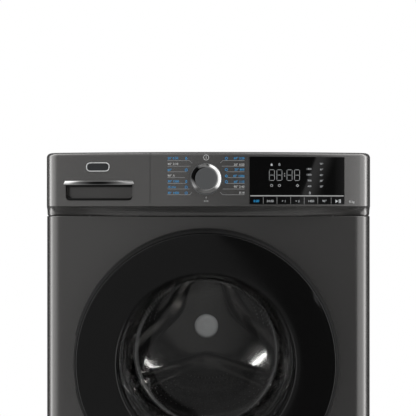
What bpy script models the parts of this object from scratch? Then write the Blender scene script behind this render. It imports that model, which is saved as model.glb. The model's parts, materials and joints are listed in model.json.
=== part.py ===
"""Front-loading washing machine, modelled at rest as an assembly of separate pieces.

Metres. +Z is up and the front faces -Y. The machine stands on its feet at z = 0, centred on x = 0 and y = 0.
Every sub-part has a function of its own. Depths are measured back from the front panel's plane with
back(depth). A moving piece has its origin on its joint's axis.
"""

import math

import bmesh
import bpy
from mathutils import Matrix, Vector

# Overall size
WIDTH = 0.595
HEIGHT = 0.850
DEPTH = 0.565
DOOR_PROUD = 0.038  # door face ahead of the front panel
INLET_PROUD = 0.016  # water inlet's thread behind the rear cover

# Clearances and sheet thicknesses
GAP = 0.0003  # between pieces that touch
SEAM = 0.0006  # visible seam between body panels
RUN = 0.0010  # round a piece that turns or slides
FAR = 2.0  # past the model, for a cut that goes right through
SHEET = 0.0012
SHELL = 0.0025  # moulded plastic wall

# Cabinet
CORNER_R = 0.034  # front panel's upright corners
REAR_CORNER_R = 0.012
WRAP_DEPTH = 0.045  # front panel's return along the sides
TOP_T = 0.018
FOOT_H = 0.012
PLINTH_TOP = 0.055
PLINTH_INSET = 0.004
FLOOR_T = 0.003
FOOT_R = 0.021
FOOT_STEM_R = 0.005
FOOT_INSET = 0.050
COVER_W = 0.440
COVER_H = 0.560
COVER_DEPTH = 0.008

# Control panel
PANEL_H = 0.1142
BAND_H = 0.0174  # lower band that leans back to the front panel
BAND_BACK = 0.014
BOW_PROUD = 0.022  # middle of the bowed face ahead of the front panel
BOW_R = 1.645
BOW_CORNER_R = 0.030
EDGE_R = 0.008  # rounded top edge

# Detergent drawer
DRAWER_RIGHT_X = -0.1042
POCKET_X = (-0.2573, -0.1357)
POCKET_Z = (HEIGHT - 0.0869, HEIGHT - 0.0516)
POCKET_DEPTH = 0.034
BAR_X = (-0.2570, -0.1360)
BAR_H = 0.0070
BAR_DEPTH = 0.0085
BAR_PROUD = 0.0015
TRAY_X = (-0.281, -0.120)
TRAY_Z = (HEIGHT - 0.100, HEIGHT - 0.038)
TRAY_LENGTH = 0.205
HOUSING_GAP = 0.0025

# Display, keys, knob and nameplate
DISPLAY_X = (0.0732, 0.2445)
DISPLAY_Z = (HEIGHT - 0.0802, HEIGHT - 0.0091)
KEY_Z = (HEIGHT - 0.0934, HEIGHT - 0.0810)
KEY_COUNT = 7
KEY_GAP = 0.0005
KEY_DEPTH = 0.0055
KEY_TRAVEL = 0.0008
KNOB_X = -0.0041
KNOB_Z = HEIGHT - 0.0485
KNOB_R = 0.0268
KNOB_FACE_R = 0.0194
KNOB_PROUD = 0.0125
KNOB_STEM_R = 0.0060
NAME_X = (-0.2194, -0.1770)
NAME_Z = (HEIGHT - 0.0348, HEIGHT - 0.0187)

# Drum and door, both on one axis
AXIS_X = -0.0045
AXIS_Z = 0.4760
DOOR_R = 0.2373
RIM_WIDTH = 0.0080
FACE_WIDTH = 0.0793  # door outside its window
PORTHOLE_LAP = 0.0573  # door beyond the porthole
WINDOW_R = DOOR_R - FACE_WIDTH
PORTHOLE_R = DOOR_R - PORTHOLE_LAP
HINGE_OVERHANG = 0.0120
HINGE_AHEAD = 0.0200
HINGE_PIN_R = 0.0035
HINGE_HALF_H = 0.045
BARREL_R = 0.0068
GLASS_R = WINDOW_R - 0.0040  # inside of the bowl at its mouth
GLASS_END_R = GLASS_R - 0.0090  # inside of the bowl at its bottom
GLASS_DEPTH = 0.085
GLASS_T = 0.0050
DRUM_R = 0.2380
DRUM_T = 0.0015
DRUM_SIDES = 48  # facets round the drum
DRUM_MOUTH_R = PORTHOLE_R - 0.0080
DRUM_FRONT = 0.112
DRUM_BACK = 0.392
TUB_R = 0.2580
TUB_T = 0.0040
TUB_MOUTH_R = PORTHOLE_R + 0.0070
TUB_FRONT = 0.098
TUB_SPLIT = 0.245
TUB_BACK = 0.430
HUB_CAP_R = 0.0277
LIFTER_COUNT = 3
PULLEY_R = 0.1350
PULLEY_FRONT = 0.466
PULLEY_W = 0.016
MOTOR_PULLEY_R = 0.0105
MOTOR_X = -0.0045
MOTOR_Z = 0.1420
MOTOR_R = 0.0540
BELT_T = 0.0030

# Tub springs and water inlet
SPRING_X = 0.268
SPRING_Y = 0.058
SPRING_TOP = HEIGHT - 0.045
SPRING_FOOT = 0.620
INLET_X = -0.200
INLET_Z = HEIGHT - 0.060

# Drain filter, behind a hatch at the lower right
HATCH_X = (0.1300, 0.2450)
HATCH_Z = (0.0800, 0.1800)
HATCH_T = 0.0025
FILTER_X = 0.1875
FILTER_Z = 0.1300
FILTER_R = 0.0310

FRONT_Y = -DEPTH / 2 + DOOR_PROUD
COVER_Y = DEPTH / 2 - INLET_PROUD
WALL_Y = COVER_Y - COVER_DEPTH
SEAM_Y = FRONT_Y + WRAP_DEPTH
HALF_W = WIDTH / 2
TOP_UNDER = HEIGHT - TOP_T
PANEL_BOTTOM = HEIGHT - PANEL_H
PANEL_BACK_Y = SEAM_Y - SEAM
BOW_CENTRE_Y = FRONT_Y - BOW_PROUD + BOW_R
HINGE_X = AXIS_X - DOOR_R + HINGE_OVERHANG
HINGE_Y = FRONT_Y - HINGE_AHEAD
LATCH_X = AXIS_X + DOOR_R - 0.0453  # near side of the lock's slot
LEFT_HALF = (-1.0, DRAWER_RIGHT_X)

# Finish of each material: sRGB colour, roughness, metallic, alpha
FINISHES = {
    "graphite_paint": ("#4E5052", 0.38, 0.75, 1.0),
    "graphite_fascia": ("#56585B", 0.36, 0.60, 1.0),
    "rim_graphite": ("#3A3B3D", 0.30, 0.60, 1.0),
    "black_gloss": ("#0B0B0C", 0.06, 0.0, 1.0),
    "key_black": ("#101112", 0.12, 0.0, 1.0),
    "tinted_glass": ("#2A2D2E", 0.03, 0.0, 0.45),
    "chrome": ("#D6D8DA", 0.08, 1.0, 1.0),
    "knob_face_grey": ("#5C5E60", 0.34, 0.55, 1.0),
    "nameplate_grey": ("#A8ABAE", 0.30, 0.80, 1.0),
    "black_plastic": ("#1B1B1C", 0.45, 0.0, 1.0),
    "grey_plastic": ("#8D9092", 0.50, 0.0, 1.0),
    "white_plastic": ("#E4E5E3", 0.45, 0.0, 1.0),
    "tub_plastic": ("#C9CBC9", 0.55, 0.0, 1.0),
    "stainless": ("#B9BBBD", 0.26, 1.0, 1.0),
    "galvanised": ("#A6AAAD", 0.42, 1.0, 1.0),
    "cast_aluminium": ("#9A9C9E", 0.50, 1.0, 1.0),
    "bearing_steel": ("#8C8F92", 0.22, 1.0, 1.0),
    "gasket_rubber": ("#77797A", 0.60, 0.0, 1.0),
    "black_rubber": ("#161616", 0.75, 0.0, 1.0),
    "concrete": ("#8F8C86", 0.90, 0.0, 1.0),
    "circuit_board": ("#1E5A36", 0.50, 0.0, 1.0),
    "top_laminate": ("#47494B", 0.45, 0.10, 1.0),
}


def back(depth):
    """World y of a plane this far behind the front panel."""
    return FRONT_Y + depth


def clear_scene():
    for item in list(bpy.data.objects):
        bpy.data.objects.remove(item, do_unlink=True)


def to_linear(code):
    """Linear colour of an sRGB hex code."""
    parts = [int(code[i : i + 2], 16) / 255 for i in (1, 3, 5)]
    return [c / 12.92 if c <= 0.04045 else ((c + 0.055) / 1.055) ** 2.4 for c in parts]


def finish(name):
    """The named material, made once."""
    if name in bpy.data.materials:
        return bpy.data.materials[name]
    code, roughness, metallic, alpha = FINISHES[name]
    material = bpy.data.materials.new(name)
    material.use_nodes = True
    shader = material.node_tree.nodes["Principled BSDF"]
    shader.inputs["Base Color"].default_value = (*to_linear(code), 1.0)
    shader.inputs["Roughness"].default_value = roughness
    shader.inputs["Metallic"].default_value = metallic
    shader.inputs["Alpha"].default_value = alpha
    return material


def place(name, bm, material, origin=(0.0, 0.0, 0.0), smooth=False):
    """An object of this mesh, whose points are in world metres, with its origin at the point given."""
    bmesh.ops.recalc_face_normals(bm, faces=bm.faces)
    bmesh.ops.translate(bm, vec=-Vector(origin), verts=bm.verts)
    mesh = bpy.data.meshes.new(name)
    bm.to_mesh(mesh)
    bm.free()
    if smooth:
        mesh.shade_smooth()
        mesh.set_sharp_from_angle(angle=math.radians(32))
    mesh.materials.append(finish(material))
    item = bpy.data.objects.new(name, mesh)
    item.location = origin
    bpy.context.scene.collection.objects.link(item)
    return item


def helper(bm):
    """A hidden object that a Boolean uses."""
    bmesh.ops.recalc_face_normals(bm, faces=bm.faces)
    mesh = bpy.data.meshes.new("cutter")
    bm.to_mesh(mesh)
    bm.free()
    item = bpy.data.objects.new("cutter", mesh)
    item.hide_render = True
    item.display_type = "WIRE"
    bpy.context.scene.collection.objects.link(item)
    return item


def combine(item, bm, operation):
    """Adds a Boolean of this mesh, whose points are in world metres."""
    modifier = item.modifiers.new(operation.lower(), "BOOLEAN")
    modifier.operation = operation
    modifier.solver = "EXACT"
    modifier.object = bm if isinstance(bm, bpy.types.Object) else helper(bm)
    return modifier.object


def cut(item, bm):
    return combine(item, bm, "DIFFERENCE")


def join(item, bm):
    return combine(item, bm, "UNION")


def box(x, y, z):
    """A box between pairs of limits."""
    bm = bmesh.new()
    size = [hi - lo for lo, hi in (x, y, z)]
    centre = [(hi + lo) / 2 for lo, hi in (x, y, z)]
    matrix = Matrix.Translation(centre) @ Matrix.Diagonal((*size, 1.0))
    bmesh.ops.create_cube(bm, size=1.0, matrix=matrix)
    return bm


def around(centre, half):
    return (centre - half, centre + half)


def loft(rings):
    """A closed solid through rings of points, capped at both ends."""
    bm = bmesh.new()
    rows = [[bm.verts.new(point) for point in ring] for ring in rings]
    count = len(rows[0])
    for low, high in zip(rows, rows[1:]):
        for i in range(count):
            j = (i + 1) % count
            bm.faces.new((low[i], low[j], high[j], high[i]))
    bm.faces.new(rows[0][::-1])
    bm.faces.new(rows[-1])
    return bm


def prism(outline, start, end, axis):
    """An outline drawn in the two other directions, extruded along an axis."""

    def at(p, value):
        if axis == "X":
            return (value, p[0], p[1])
        if axis == "Y":
            return (p[0], value, p[1])
        return (p[0], p[1], value)

    return loft([[at(p, value) for p in outline] for value in (start, end)])


def lathe(profile, centre, axis="Y", segments=40):
    """A closed outline of (radius, position along the axis) turned round an axis through the centre."""
    bm = bmesh.new()
    rows = []
    for radius, along in profile:
        row = []
        for i in range(segments if radius > 0 else 1):
            angle = math.tau * i / segments
            side = (radius * math.cos(angle), radius * math.sin(angle))
            if axis == "Y":
                row.append(bm.verts.new((centre[0] + side[0], along, centre[1] + side[1])))
            else:
                row.append(bm.verts.new((centre[0] + side[0], centre[1] + side[1], along)))
        rows.append(row)
    for first, second in zip(rows, rows[1:] + rows[:1]):
        if len(first) == 1 and len(second) == 1:
            continue
        for i in range(segments):
            j = (i + 1) % segments
            corners = []
            for row, k in ((first, i), (first, j), (second, j), (second, i)):
                vert = row[k % len(row)]
                if vert not in corners:
                    corners.append(vert)
            bm.faces.new(corners)
    return bm


def rod(radius, start, end, centre, axis="Y", segments=32):
    """A round bar."""
    return lathe([(0, start), (radius, start), (radius, end), (0, end)], centre, axis, segments)


def arc(centre, radius, first, last, steps):
    """Points on an arc, with its angles in degrees."""
    angles = [math.radians(first + (last - first) * i / steps) for i in range(steps + 1)]
    return [(centre[0] + radius * math.cos(a), centre[1] + radius * math.sin(a)) for a in angles]


def rounded_outline(u, v, radius, steps=5):
    """A rectangle between pairs of limits with rounded corners."""
    corners = (
        (u[1] - radius, v[1] - radius, 0),
        (u[0] + radius, v[1] - radius, 90),
        (u[0] + radius, v[0] + radius, 180),
        (u[1] - radius, v[0] + radius, 270),
    )
    points = []
    for x, y, start in corners:
        points += arc((x, y), radius, start, start + 90, steps)
    return points


# Cabinet


def wrap_path(inset):
    """Plan of the sides and back, from the left seam round to the right."""
    x = HALF_W - inset
    radius = REAR_CORNER_R - inset
    y = WALL_Y - inset
    left = arc((-x + radius, y - radius), radius, 180, 90, 4)
    right = arc((x - radius, y - radius), radius, 90, 0, 4)
    return [(-x, SEAM_Y)] + left + right + [(x, SEAM_Y)]


def make_cabinet_wrap():
    outline = wrap_path(0) + wrap_path(SHEET)[::-1]
    item = place("cabinet_wrap", prism(outline, PLINTH_TOP, TOP_UNDER - GAP, "Z"), "graphite_paint")
    margin = 0.012
    opening_z = around(AXIS_Z - 0.02, COVER_H / 2 - margin)
    cut(item, box(around(0, COVER_W / 2 - margin), (WALL_Y - 0.01, WALL_Y + 0.01), opening_z))
    cut(item, rod(0.0140, WALL_Y - 0.01, WALL_Y + 0.01, (INLET_X, INLET_Z), segments=20))
    cut(item, rod(0.0085, WALL_Y - 0.01, WALL_Y + 0.01, (0.230, 0.100), segments=20))
    for side in (-1, 1):
        tab = sorted((side * (SPRING_X - 0.010), side * (HALF_W - SHEET / 2)))
        join(item, box(tab, (0.040, 0.075), (SPRING_TOP, SPRING_TOP + 0.003)))


def make_rear_cover():
    x = around(0, COVER_W / 2)
    z = around(AXIS_Z - 0.02, COVER_H / 2)
    item = place("rear_cover", box(x, (WALL_Y + GAP, COVER_Y), z), "galvanised")
    inner = [(lo + SHEET, hi - SHEET) for lo, hi in (x, z)]
    cut(item, box(inner[0], (WALL_Y - 0.01, COVER_Y - SHEET), inner[1]))


def front_path(inset):
    """Plan of the front panel, from the left seam round to the right."""
    x = HALF_W - inset
    radius = CORNER_R - inset
    y = FRONT_Y + inset
    left = arc((-x + radius, y + radius), radius, 180, 270, 7)
    right = arc((x - radius, y + radius), radius, 270, 360, 7)
    return [(-x, SEAM_Y - SEAM)] + left + right + [(x, SEAM_Y - SEAM)]


def make_front_panel():
    outline = front_path(0) + front_path(SHEET)[::-1]
    bm = prism(outline, PLINTH_TOP, PANEL_BOTTOM - SEAM, "Z")
    item = place("front_panel", bm, "graphite_paint", smooth=True)
    through = (FRONT_Y - 0.01, FRONT_Y + 0.01)
    cut(item, rod(PORTHOLE_R, *through, (AXIS_X, AXIS_Z), segments=40))
    x = (HATCH_X[0] - SEAM, HATCH_X[1] + SEAM)
    z = (HATCH_Z[0] - SEAM, HATCH_Z[1] + SEAM)
    cut(item, box(x, through, z))


def make_top_plate():
    radius = REAR_CORNER_R
    outline = rounded_outline((-HALF_W, HALF_W), (SEAM_Y, WALL_Y), radius, 4)
    bm = prism(outline, TOP_UNDER, HEIGHT, "Z")
    place("top_plate", bm, "top_laminate")


def make_base_tray():
    """The open plastic base that carries the feet."""
    x = HALF_W - PLINTH_INSET
    y = (FRONT_Y + PLINTH_INSET, WALL_Y - PLINTH_INSET)
    low = FOOT_H + 0.004
    bm = prism(rounded_outline((-x, x), y, CORNER_R - PLINTH_INSET), low, PLINTH_TOP - GAP, "Z")
    item = place("base_tray", bm, "black_plastic")
    wall = 0.003
    inner = rounded_outline((wall - x, x - wall), (y[0] + wall, y[1] - wall), 0.027)
    cut(item, prism(inner, low + FLOOR_T, PLINTH_TOP + 0.01, "Z"))
    for centre in foot_centres():
        cut(item, rod(FOOT_STEM_R + RUN, low - 0.01, low + 0.01, centre, "Z", 16))


def foot_centres():
    x = HALF_W - FOOT_INSET
    y = (FRONT_Y + FOOT_INSET, WALL_Y - FOOT_INSET)
    return [(side * x, depth) for depth in y for side in (-1, 1)]


def make_feet():
    """Four levelling feet: a rubber-soled pad, a lock nut's collar and a threaded stem."""
    names = ("foot_front_left", "foot_front_right", "foot_rear_left", "foot_rear_right")
    collar = FOOT_H + 0.004 - GAP
    profile = [
        (0, 0),
        (FOOT_R - 0.002, 0),
        (FOOT_R, 0.002),
        (FOOT_R, 0.007),
        (0.010, FOOT_H - 0.001),
        (0.010, collar),
        (FOOT_STEM_R, collar),
        (FOOT_STEM_R, 0.046),
        (0, 0.046),
    ]
    for name, centre in zip(names, foot_centres()):
        bm = lathe(profile, centre, "Z", 16)
        place(name, bm, "black_rubber", (*centre, 0.0), smooth=True)


# Control panel


def bow_outline(inset, lean=0.0, behind=0.0):
    """Plan of the bowed panel, from its left rear corner round to the right, moved back by lean."""
    bow, corner = BOW_R - inset, BOW_CORNER_R - inset
    start = math.asin((HALF_W - BOW_CORNER_R) / (BOW_R - BOW_CORNER_R))
    reach = BOW_R - BOW_CORNER_R
    middle = (reach * math.sin(start), BOW_CENTRE_Y - reach * math.cos(start))
    right = []
    steps = 8
    for i in range(1, steps + 1):
        angle = start * i / steps
        right.append((bow * math.sin(angle), BOW_CENTRE_Y - bow * math.cos(angle)))
    steps = 6
    for i in range(1, steps + 1):
        angle = start + (math.pi / 2 - start) * i / steps
        right.append(
            (middle[0] + corner * math.sin(angle), middle[1] - corner * math.cos(angle))
        )
    front = [(-x, y) for x, y in right[::-1]] + [(0.0, BOW_CENTRE_Y - bow)] + right
    limit = PANEL_BACK_Y - 0.004
    front = [(x, min(y + lean, limit)) for x, y in front]
    rear = PANEL_BACK_Y + behind
    return [(inset - HALF_W, rear)] + front + [(HALF_W - inset, rear)]


def face_y(x, inset=0.0):
    """World y of the bowed face at this x."""
    return BOW_CENTRE_Y - math.sqrt((BOW_R - inset) ** 2 - x * x)


def fascia_solid(inset=0.0, behind=0.0):
    """The control panel's whole outer form, drawn in by an inset."""
    low, high = PANEL_BOTTOM + inset, HEIGHT - inset
    levels = (
        (low, 0.0, BAND_BACK),
        (PANEL_BOTTOM + BAND_H, 0.0, 0.0),
        (HEIGHT - EDGE_R, 0.0, 0.0),
        (high - (EDGE_R - inset) * 0.30, (EDGE_R - inset) * 0.25, 0.0),
        (high, EDGE_R - inset, 0.0),
    )
    rings = []
    for z, more, lean in levels:
        rings.append([(x, y, z) for x, y in bow_outline(inset + more, lean, behind)])
    return loft(rings)


def bowed_slab(x, z, outer, inner, steps=6):
    """A slab that follows the bowed face, between two insets from it."""
    xs = [x[0] + (x[1] - x[0]) * i / steps for i in range(steps + 1)]
    front = [(u, face_y(u, outer)) for u in xs]
    rear = [(u, face_y(u, inner)) for u in reversed(xs)]
    return prism(front + rear, z[0], z[1], "Z")


def make_control_panel():
    item = place("control_panel", fascia_solid(), "graphite_fascia", smooth=True)
    hollow = helper(fascia_solid(SHELL, 0.02))
    cut(hollow, box((-1, DRAWER_RIGHT_X + SEAM + SHELL), (-1, 1), (0, FAR)))
    cut(item, hollow)
    cut(item, box((-1, DRAWER_RIGHT_X + SEAM), (-1, 1), (0, FAR)))
    frame_x = (DISPLAY_X[0] - GAP, DISPLAY_X[1] + GAP)
    cut(item, bowed_slab(frame_x, (KEY_Z[0] - GAP, DISPLAY_Z[1] + GAP), -0.01, 0.01))
    y = face_y(KNOB_X)
    cut(item, rod(KNOB_STEM_R + RUN, y - 0.01, y + 0.01, (KNOB_X, KNOB_Z), segments=20))


def make_display_window():
    place("display_window", bowed_slab(DISPLAY_X, DISPLAY_Z, -0.0005, SHELL), "black_gloss")


def key_edges(index):
    pitch = (DISPLAY_X[1] - DISPLAY_X[0] + KEY_GAP) / KEY_COUNT
    left = DISPLAY_X[0] + index * pitch
    return (left, left + pitch - KEY_GAP)


def make_keys():
    """The touch row's seven short-stroke keys."""
    for index in range(KEY_COUNT):
        x = key_edges(index)
        middle = (x[0] + x[1]) / 2
        bm = bowed_slab(x, KEY_Z, -0.0004, KEY_DEPTH, 2)
        origin = (middle, face_y(middle), (KEY_Z[0] + KEY_Z[1]) / 2)
        place(f"key_{index + 1}", bm, "key_black", origin)


def make_control_board():
    """The circuit board with its knob encoder, display module and key switches."""
    board = face_y(DISPLAY_X[1]) + 0.0155
    x = (-0.090, 0.262)
    item = place(
        "control_board", box(x, (board, board + 0.0016), (HEIGHT - 0.100, HEIGHT - 0.008)), "circuit_board"
    )
    stem_end = knob_stem_end()
    encoder = box(around(KNOB_X, 0.008), (stem_end + GAP, board + 0.0008), around(KNOB_Z, 0.008))
    join(item, encoder)
    display_x = (DISPLAY_X[0] + 0.006, DISPLAY_X[1] - 0.006)
    display_z = (DISPLAY_Z[0] + 0.006, DISPLAY_Z[1] - 0.006)
    front = face_y(display_x[1], SHELL) + GAP
    join(item, box(display_x, (front, board + 0.0008), display_z))
    for index in range(KEY_COUNT):
        left, right = key_edges(index)
        middle = (left + right) / 2
        y = face_y(right, KEY_DEPTH) + KEY_TRAVEL + GAP
        switch = box(around(middle, 0.003), (y, board + 0.0008), around(KEY_Z[0] + 0.006, 0.003))
        join(item, switch)
    for rib_x in (-0.080, 0.030):
        join(item, box(around(rib_x, 0.002), (face_y(rib_x, SHELL) + GAP, board + 0.0008), around(HEIGHT - 0.050, 0.01)))


def knob_stem_end():
    return face_y(0) + 0.018


def make_knob():
    """The programme knob: a bright bevelled ring on a stem, with a flat face let into it."""
    centre = (KNOB_X, KNOB_Z)
    skirt = face_y(0) - 0.0008
    front = skirt - KNOB_PROUD
    seat = front + 0.0020
    profile = [
        (0, seat),
        (KNOB_FACE_R + GAP, seat),
        (KNOB_FACE_R + GAP, front),
        (KNOB_FACE_R + 0.0012, front),
        (KNOB_R, skirt - 0.0035),
        (KNOB_R, skirt),
        (KNOB_STEM_R, skirt),
        (KNOB_STEM_R, knob_stem_end()),
        (0, knob_stem_end()),
    ]
    origin = (KNOB_X, skirt, KNOB_Z)
    place("knob_ring", lathe(profile, centre, segments=32), "chrome", origin, smooth=True)
    face = rod(KNOB_FACE_R, front + 0.0002, seat - GAP, centre)
    place("knob_face", face, "knob_face_grey", origin, smooth=True)


def make_nameplate():
    """A plain plate with no lettering."""
    place("nameplate", bowed_slab(NAME_X, NAME_Z, -0.0012, -GAP, 3), "nameplate_grey")


# Detergent drawer


def make_drawer_front():
    item = place("drawer_front", fascia_solid(), "graphite_fascia", smooth=True)
    cut(item, box((DRAWER_RIGHT_X, 1), (-1, 1), (0, FAR)))
    pocket_x = (POCKET_X[0] - SHELL, POCKET_X[1] + SHELL)
    pocket_z = (POCKET_Z[0] - SHELL, POCKET_Z[1] + SHELL)
    pocket_y = face_y(POCKET_X[1]) + POCKET_DEPTH
    hollow = helper(fascia_solid(SHELL, 0.02))
    cut(hollow, box((DRAWER_RIGHT_X - SHELL, 1), (-1, 1), (0, FAR)))
    cut(hollow, box(pocket_x, (-1, pocket_y + SHELL), pocket_z))
    cut(item, hollow)
    outline = rounded_outline(POCKET_X, (POCKET_Z[0], POCKET_Z[1] + 0.010), 0.008)
    outline = [(x, min(z, POCKET_Z[1])) for x, z in outline if z < POCKET_Z[1] + 0.002]
    outline = [(POCKET_X[0], POCKET_Z[1])] + outline + [(POCKET_X[1], POCKET_Z[1])]
    cut(item, prism(outline, -1, pocket_y, "Y"))


def make_drawer_handle():
    """The bright bar along the top of the finger pocket."""
    x = (POCKET_X[0] + GAP, POCKET_X[1] - GAP)
    z = (POCKET_Z[1] - GAP - BAR_H, POCKET_Z[1] - GAP)
    place("drawer_handle", bowed_slab(x, z, -BAR_PROUD, BAR_DEPTH, 8), "chrome")


def tray_front_y():
    return face_y(POCKET_X[1]) + POCKET_DEPTH + SHELL + GAP


def make_drawer_tray():
    """The sliding tray with its three compartments."""
    y = (tray_front_y(), tray_front_y() + TRAY_LENGTH)
    wall = 0.002
    item = place("drawer_tray", box(TRAY_X, y, TRAY_Z), "grey_plastic", (0, FRONT_Y, AXIS_Z))
    parts = ((0.0, 0.40), (0.40, 0.62), (0.62, 1.0))
    span = TRAY_X[1] - TRAY_X[0] - wall
    for start, end in parts:
        x = (TRAY_X[0] + wall + start * span, TRAY_X[0] + end * span)
        cut(item, box(x, (y[0] + wall, y[1] - wall), (TRAY_Z[0] + wall, FAR)))


def make_dispenser_housing():
    """The fixed box that the tray slides into, with its outlet to the tub."""
    x = (TRAY_X[0] - RUN - HOUSING_GAP, TRAY_X[1] + RUN + HOUSING_GAP)
    z = (TRAY_Z[0] - RUN - HOUSING_GAP, TOP_UNDER - GAP)
    y = (SEAM_Y + 0.002, SEAM_Y + 0.205)
    item = place("dispenser_housing", box(x, y, z), "white_plastic")
    neck_x, neck_y = -0.160, -0.045
    reach = neck_x - AXIS_X + 0.016
    low = AXIS_Z + math.sqrt((TUB_R + GAP) ** 2 - reach * reach)
    join(item, rod(0.016, low, z[0] + 0.001, (neck_x, neck_y), "Z", 20))
    inner = [(lo + HOUSING_GAP, hi - HOUSING_GAP) for lo, hi in (x, z)]
    cut(item, box(inner[0], (y[0] - 0.01, y[1] - HOUSING_GAP), inner[1]))
    cut(item, rod(0.013, low - 0.01, z[0] + 0.01, (neck_x, neck_y), "Z", 20))


# Door


def door_origin():
    return (HINGE_X, HINGE_Y, AXIS_Z)


def hinge_notch():
    """Room in the back of the door for the hinge."""
    x = (HINGE_X - 0.05, HINGE_X + 0.030)
    z = around(AXIS_Z, HINGE_HALF_H + 0.003)
    return box(x, (HINGE_Y - 0.0085, FRONT_Y + 0.01), z)


def latch_notch():
    """A finger recess in the right-hand edge, behind the rim."""
    x = (AXIS_X + DOOR_R - 0.016, AXIS_X + DOOR_R + 0.05)
    return box(x, (back(-0.019), back(0.01)), around(AXIS_Z, 0.050))


def make_door_rim():
    centre = (AXIS_X, AXIS_Z)
    inner = DOOR_R - RIM_WIDTH
    profile = [
        (DOOR_R, back(-0.0205)),
        (DOOR_R - 0.0012, back(-0.0250)),
        (inner + 0.0025, back(-0.0325)),
        (inner, back(-0.0335)),
        (inner, back(-0.0280)),
        (inner - 0.0200, back(-0.0280)),
        (inner - 0.0200, back(-0.0250)),
        (inner - 0.0020, back(-0.0250)),
        (inner - 0.0020, back(-0.0065)),
        (DOOR_R - 0.0055, back(-0.0065)),
        (DOOR_R, back(-0.0120)),
    ]
    item = place("door_rim", lathe(profile, centre), "rim_graphite", door_origin(), True)
    cut(item, hinge_notch())
    cut(item, latch_notch())


def make_door_face():
    """The gloss-black ring between the rim and the window."""
    centre = (AXIS_X, AXIS_Z)
    outer = DOOR_R - RIM_WIDTH - GAP
    profile = [
        (outer, back(-0.0335)),
        (outer - 0.0100, back(-0.0365)),
        (DOOR_R - 0.0353, back(-0.0380)),
        (WINDOW_R + 0.0220, back(-0.0370)),
        (WINDOW_R + 0.0060, back(-0.0335)),
        (WINDOW_R, back(-0.0300)),
        (WINDOW_R - 0.0010, back(-0.0240)),
        (WINDOW_R - 0.0010, back(-0.0115 - GAP)),
        (WINDOW_R + 0.0020, back(-0.0115 - GAP)),
        (WINDOW_R + 0.0020, back(-0.0283)),
        (outer, back(-0.0283)),
    ]
    bm = lathe(profile, centre)
    place("door_face", bm, "black_gloss", door_origin(), True)


def make_door_glass():
    """The thick glass bowl that reaches back into the drum's mouth."""
    centre = (AXIS_X, AXIS_Z)
    lip, end = back(-0.0115), back(GLASS_DEPTH)
    inside = [(GLASS_R, lip), (GLASS_END_R, end - 0.014)]
    inside += [(GLASS_END_R - 0.003, end - 0.006), (GLASS_END_R - 0.012, end), (0, end)]
    outside = [(0, end + GLASS_T), (GLASS_END_R - 0.010, end + GLASS_T)]
    outside += [(GLASS_END_R + 0.001, end - 0.002), (GLASS_END_R + GLASS_T, end - 0.013)]
    flange = PORTHOLE_R - 0.0040
    outside += [(GLASS_R + GLASS_T, lip + GLASS_T), (flange, lip + GLASS_T), (flange, lip)]
    bm = lathe(inside + outside, centre)
    place("door_glass", bm, "tinted_glass", door_origin(), True)


def make_door_inner_ring():
    """The ring that clamps the glass from behind and closes the door's back."""
    centre = (AXIS_X, AXIS_Z)
    outer = DOOR_R - RIM_WIDTH - 0.0020 - GAP
    lip = back(-0.0115)
    seat, clamp, step = PORTHOLE_R - 0.0035, PORTHOLE_R - 0.0120, PORTHOLE_R + 0.0050
    profile = [
        (seat, back(-0.0230)),
        (seat, lip + GLASS_T + GAP),
        (clamp, lip + GLASS_T + GAP),
        (clamp, lip + GLASS_T + 0.0020),
        (step, back(-0.0040)),
        (outer, back(-0.0060)),
        (outer, back(-0.0082)),
        (step, back(-0.0065)),
        (seat + 0.0025, back(-0.0230)),
    ]
    bm = lathe(profile, centre)
    item = place("door_inner_ring", bm, "grey_plastic", door_origin(), True)
    cut(item, hinge_notch())


def make_hinge_arm():
    """The door's half of the hinge: a barrel with a leaf screwed to the inner ring."""
    half = 0.028
    barrel = lathe(
        [
            (HINGE_PIN_R + 0.0005, AXIS_Z - half),
            (BARREL_R, AXIS_Z - half),
            (BARREL_R, AXIS_Z + half),
            (HINGE_PIN_R + 0.0005, AXIS_Z + half),
        ],
        (HINGE_X, HINGE_Y),
        "Z",
        24,
    )
    item = place("door_hinge_arm", barrel, "cast_aluminium", door_origin(), True)
    near = [(0.0, 0.0040), (0.008, 0.0040), (0.014, 0.0095), (0.0402, 0.0095)]
    far = [(0.0402, 0.0113), (0.013, 0.0113), (0.007, 0.0062), (0.0, 0.0062)]
    leaf = [(HINGE_X + u, HINGE_Y + v) for u, v in near + far]
    join(item, prism(leaf, AXIS_Z - half + 0.001, AXIS_Z + half - 0.001, "Z"))


def make_latch_hook():
    """The steel hook that catches in the door lock."""
    x0 = LATCH_X + 0.0040
    outline = [
        (x0, back(-0.0041)),
        (x0 + 0.012, back(-0.0041)),
        (x0 + 0.012, back(0.0060)),
        (x0 + 0.012, back(0.0150)),
        (x0 + 0.006, back(0.0210)),
        (x0 - 0.002, back(0.0150)),
        (x0 + 0.006, back(0.0150)),
        (x0 + 0.006, back(0.0060)),
        (x0, back(0.0060)),
    ]
    bm = prism(outline, AXIS_Z - 0.005, AXIS_Z + 0.005, "Z")
    place("door_latch_hook", bm, "galvanised", door_origin())


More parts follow.
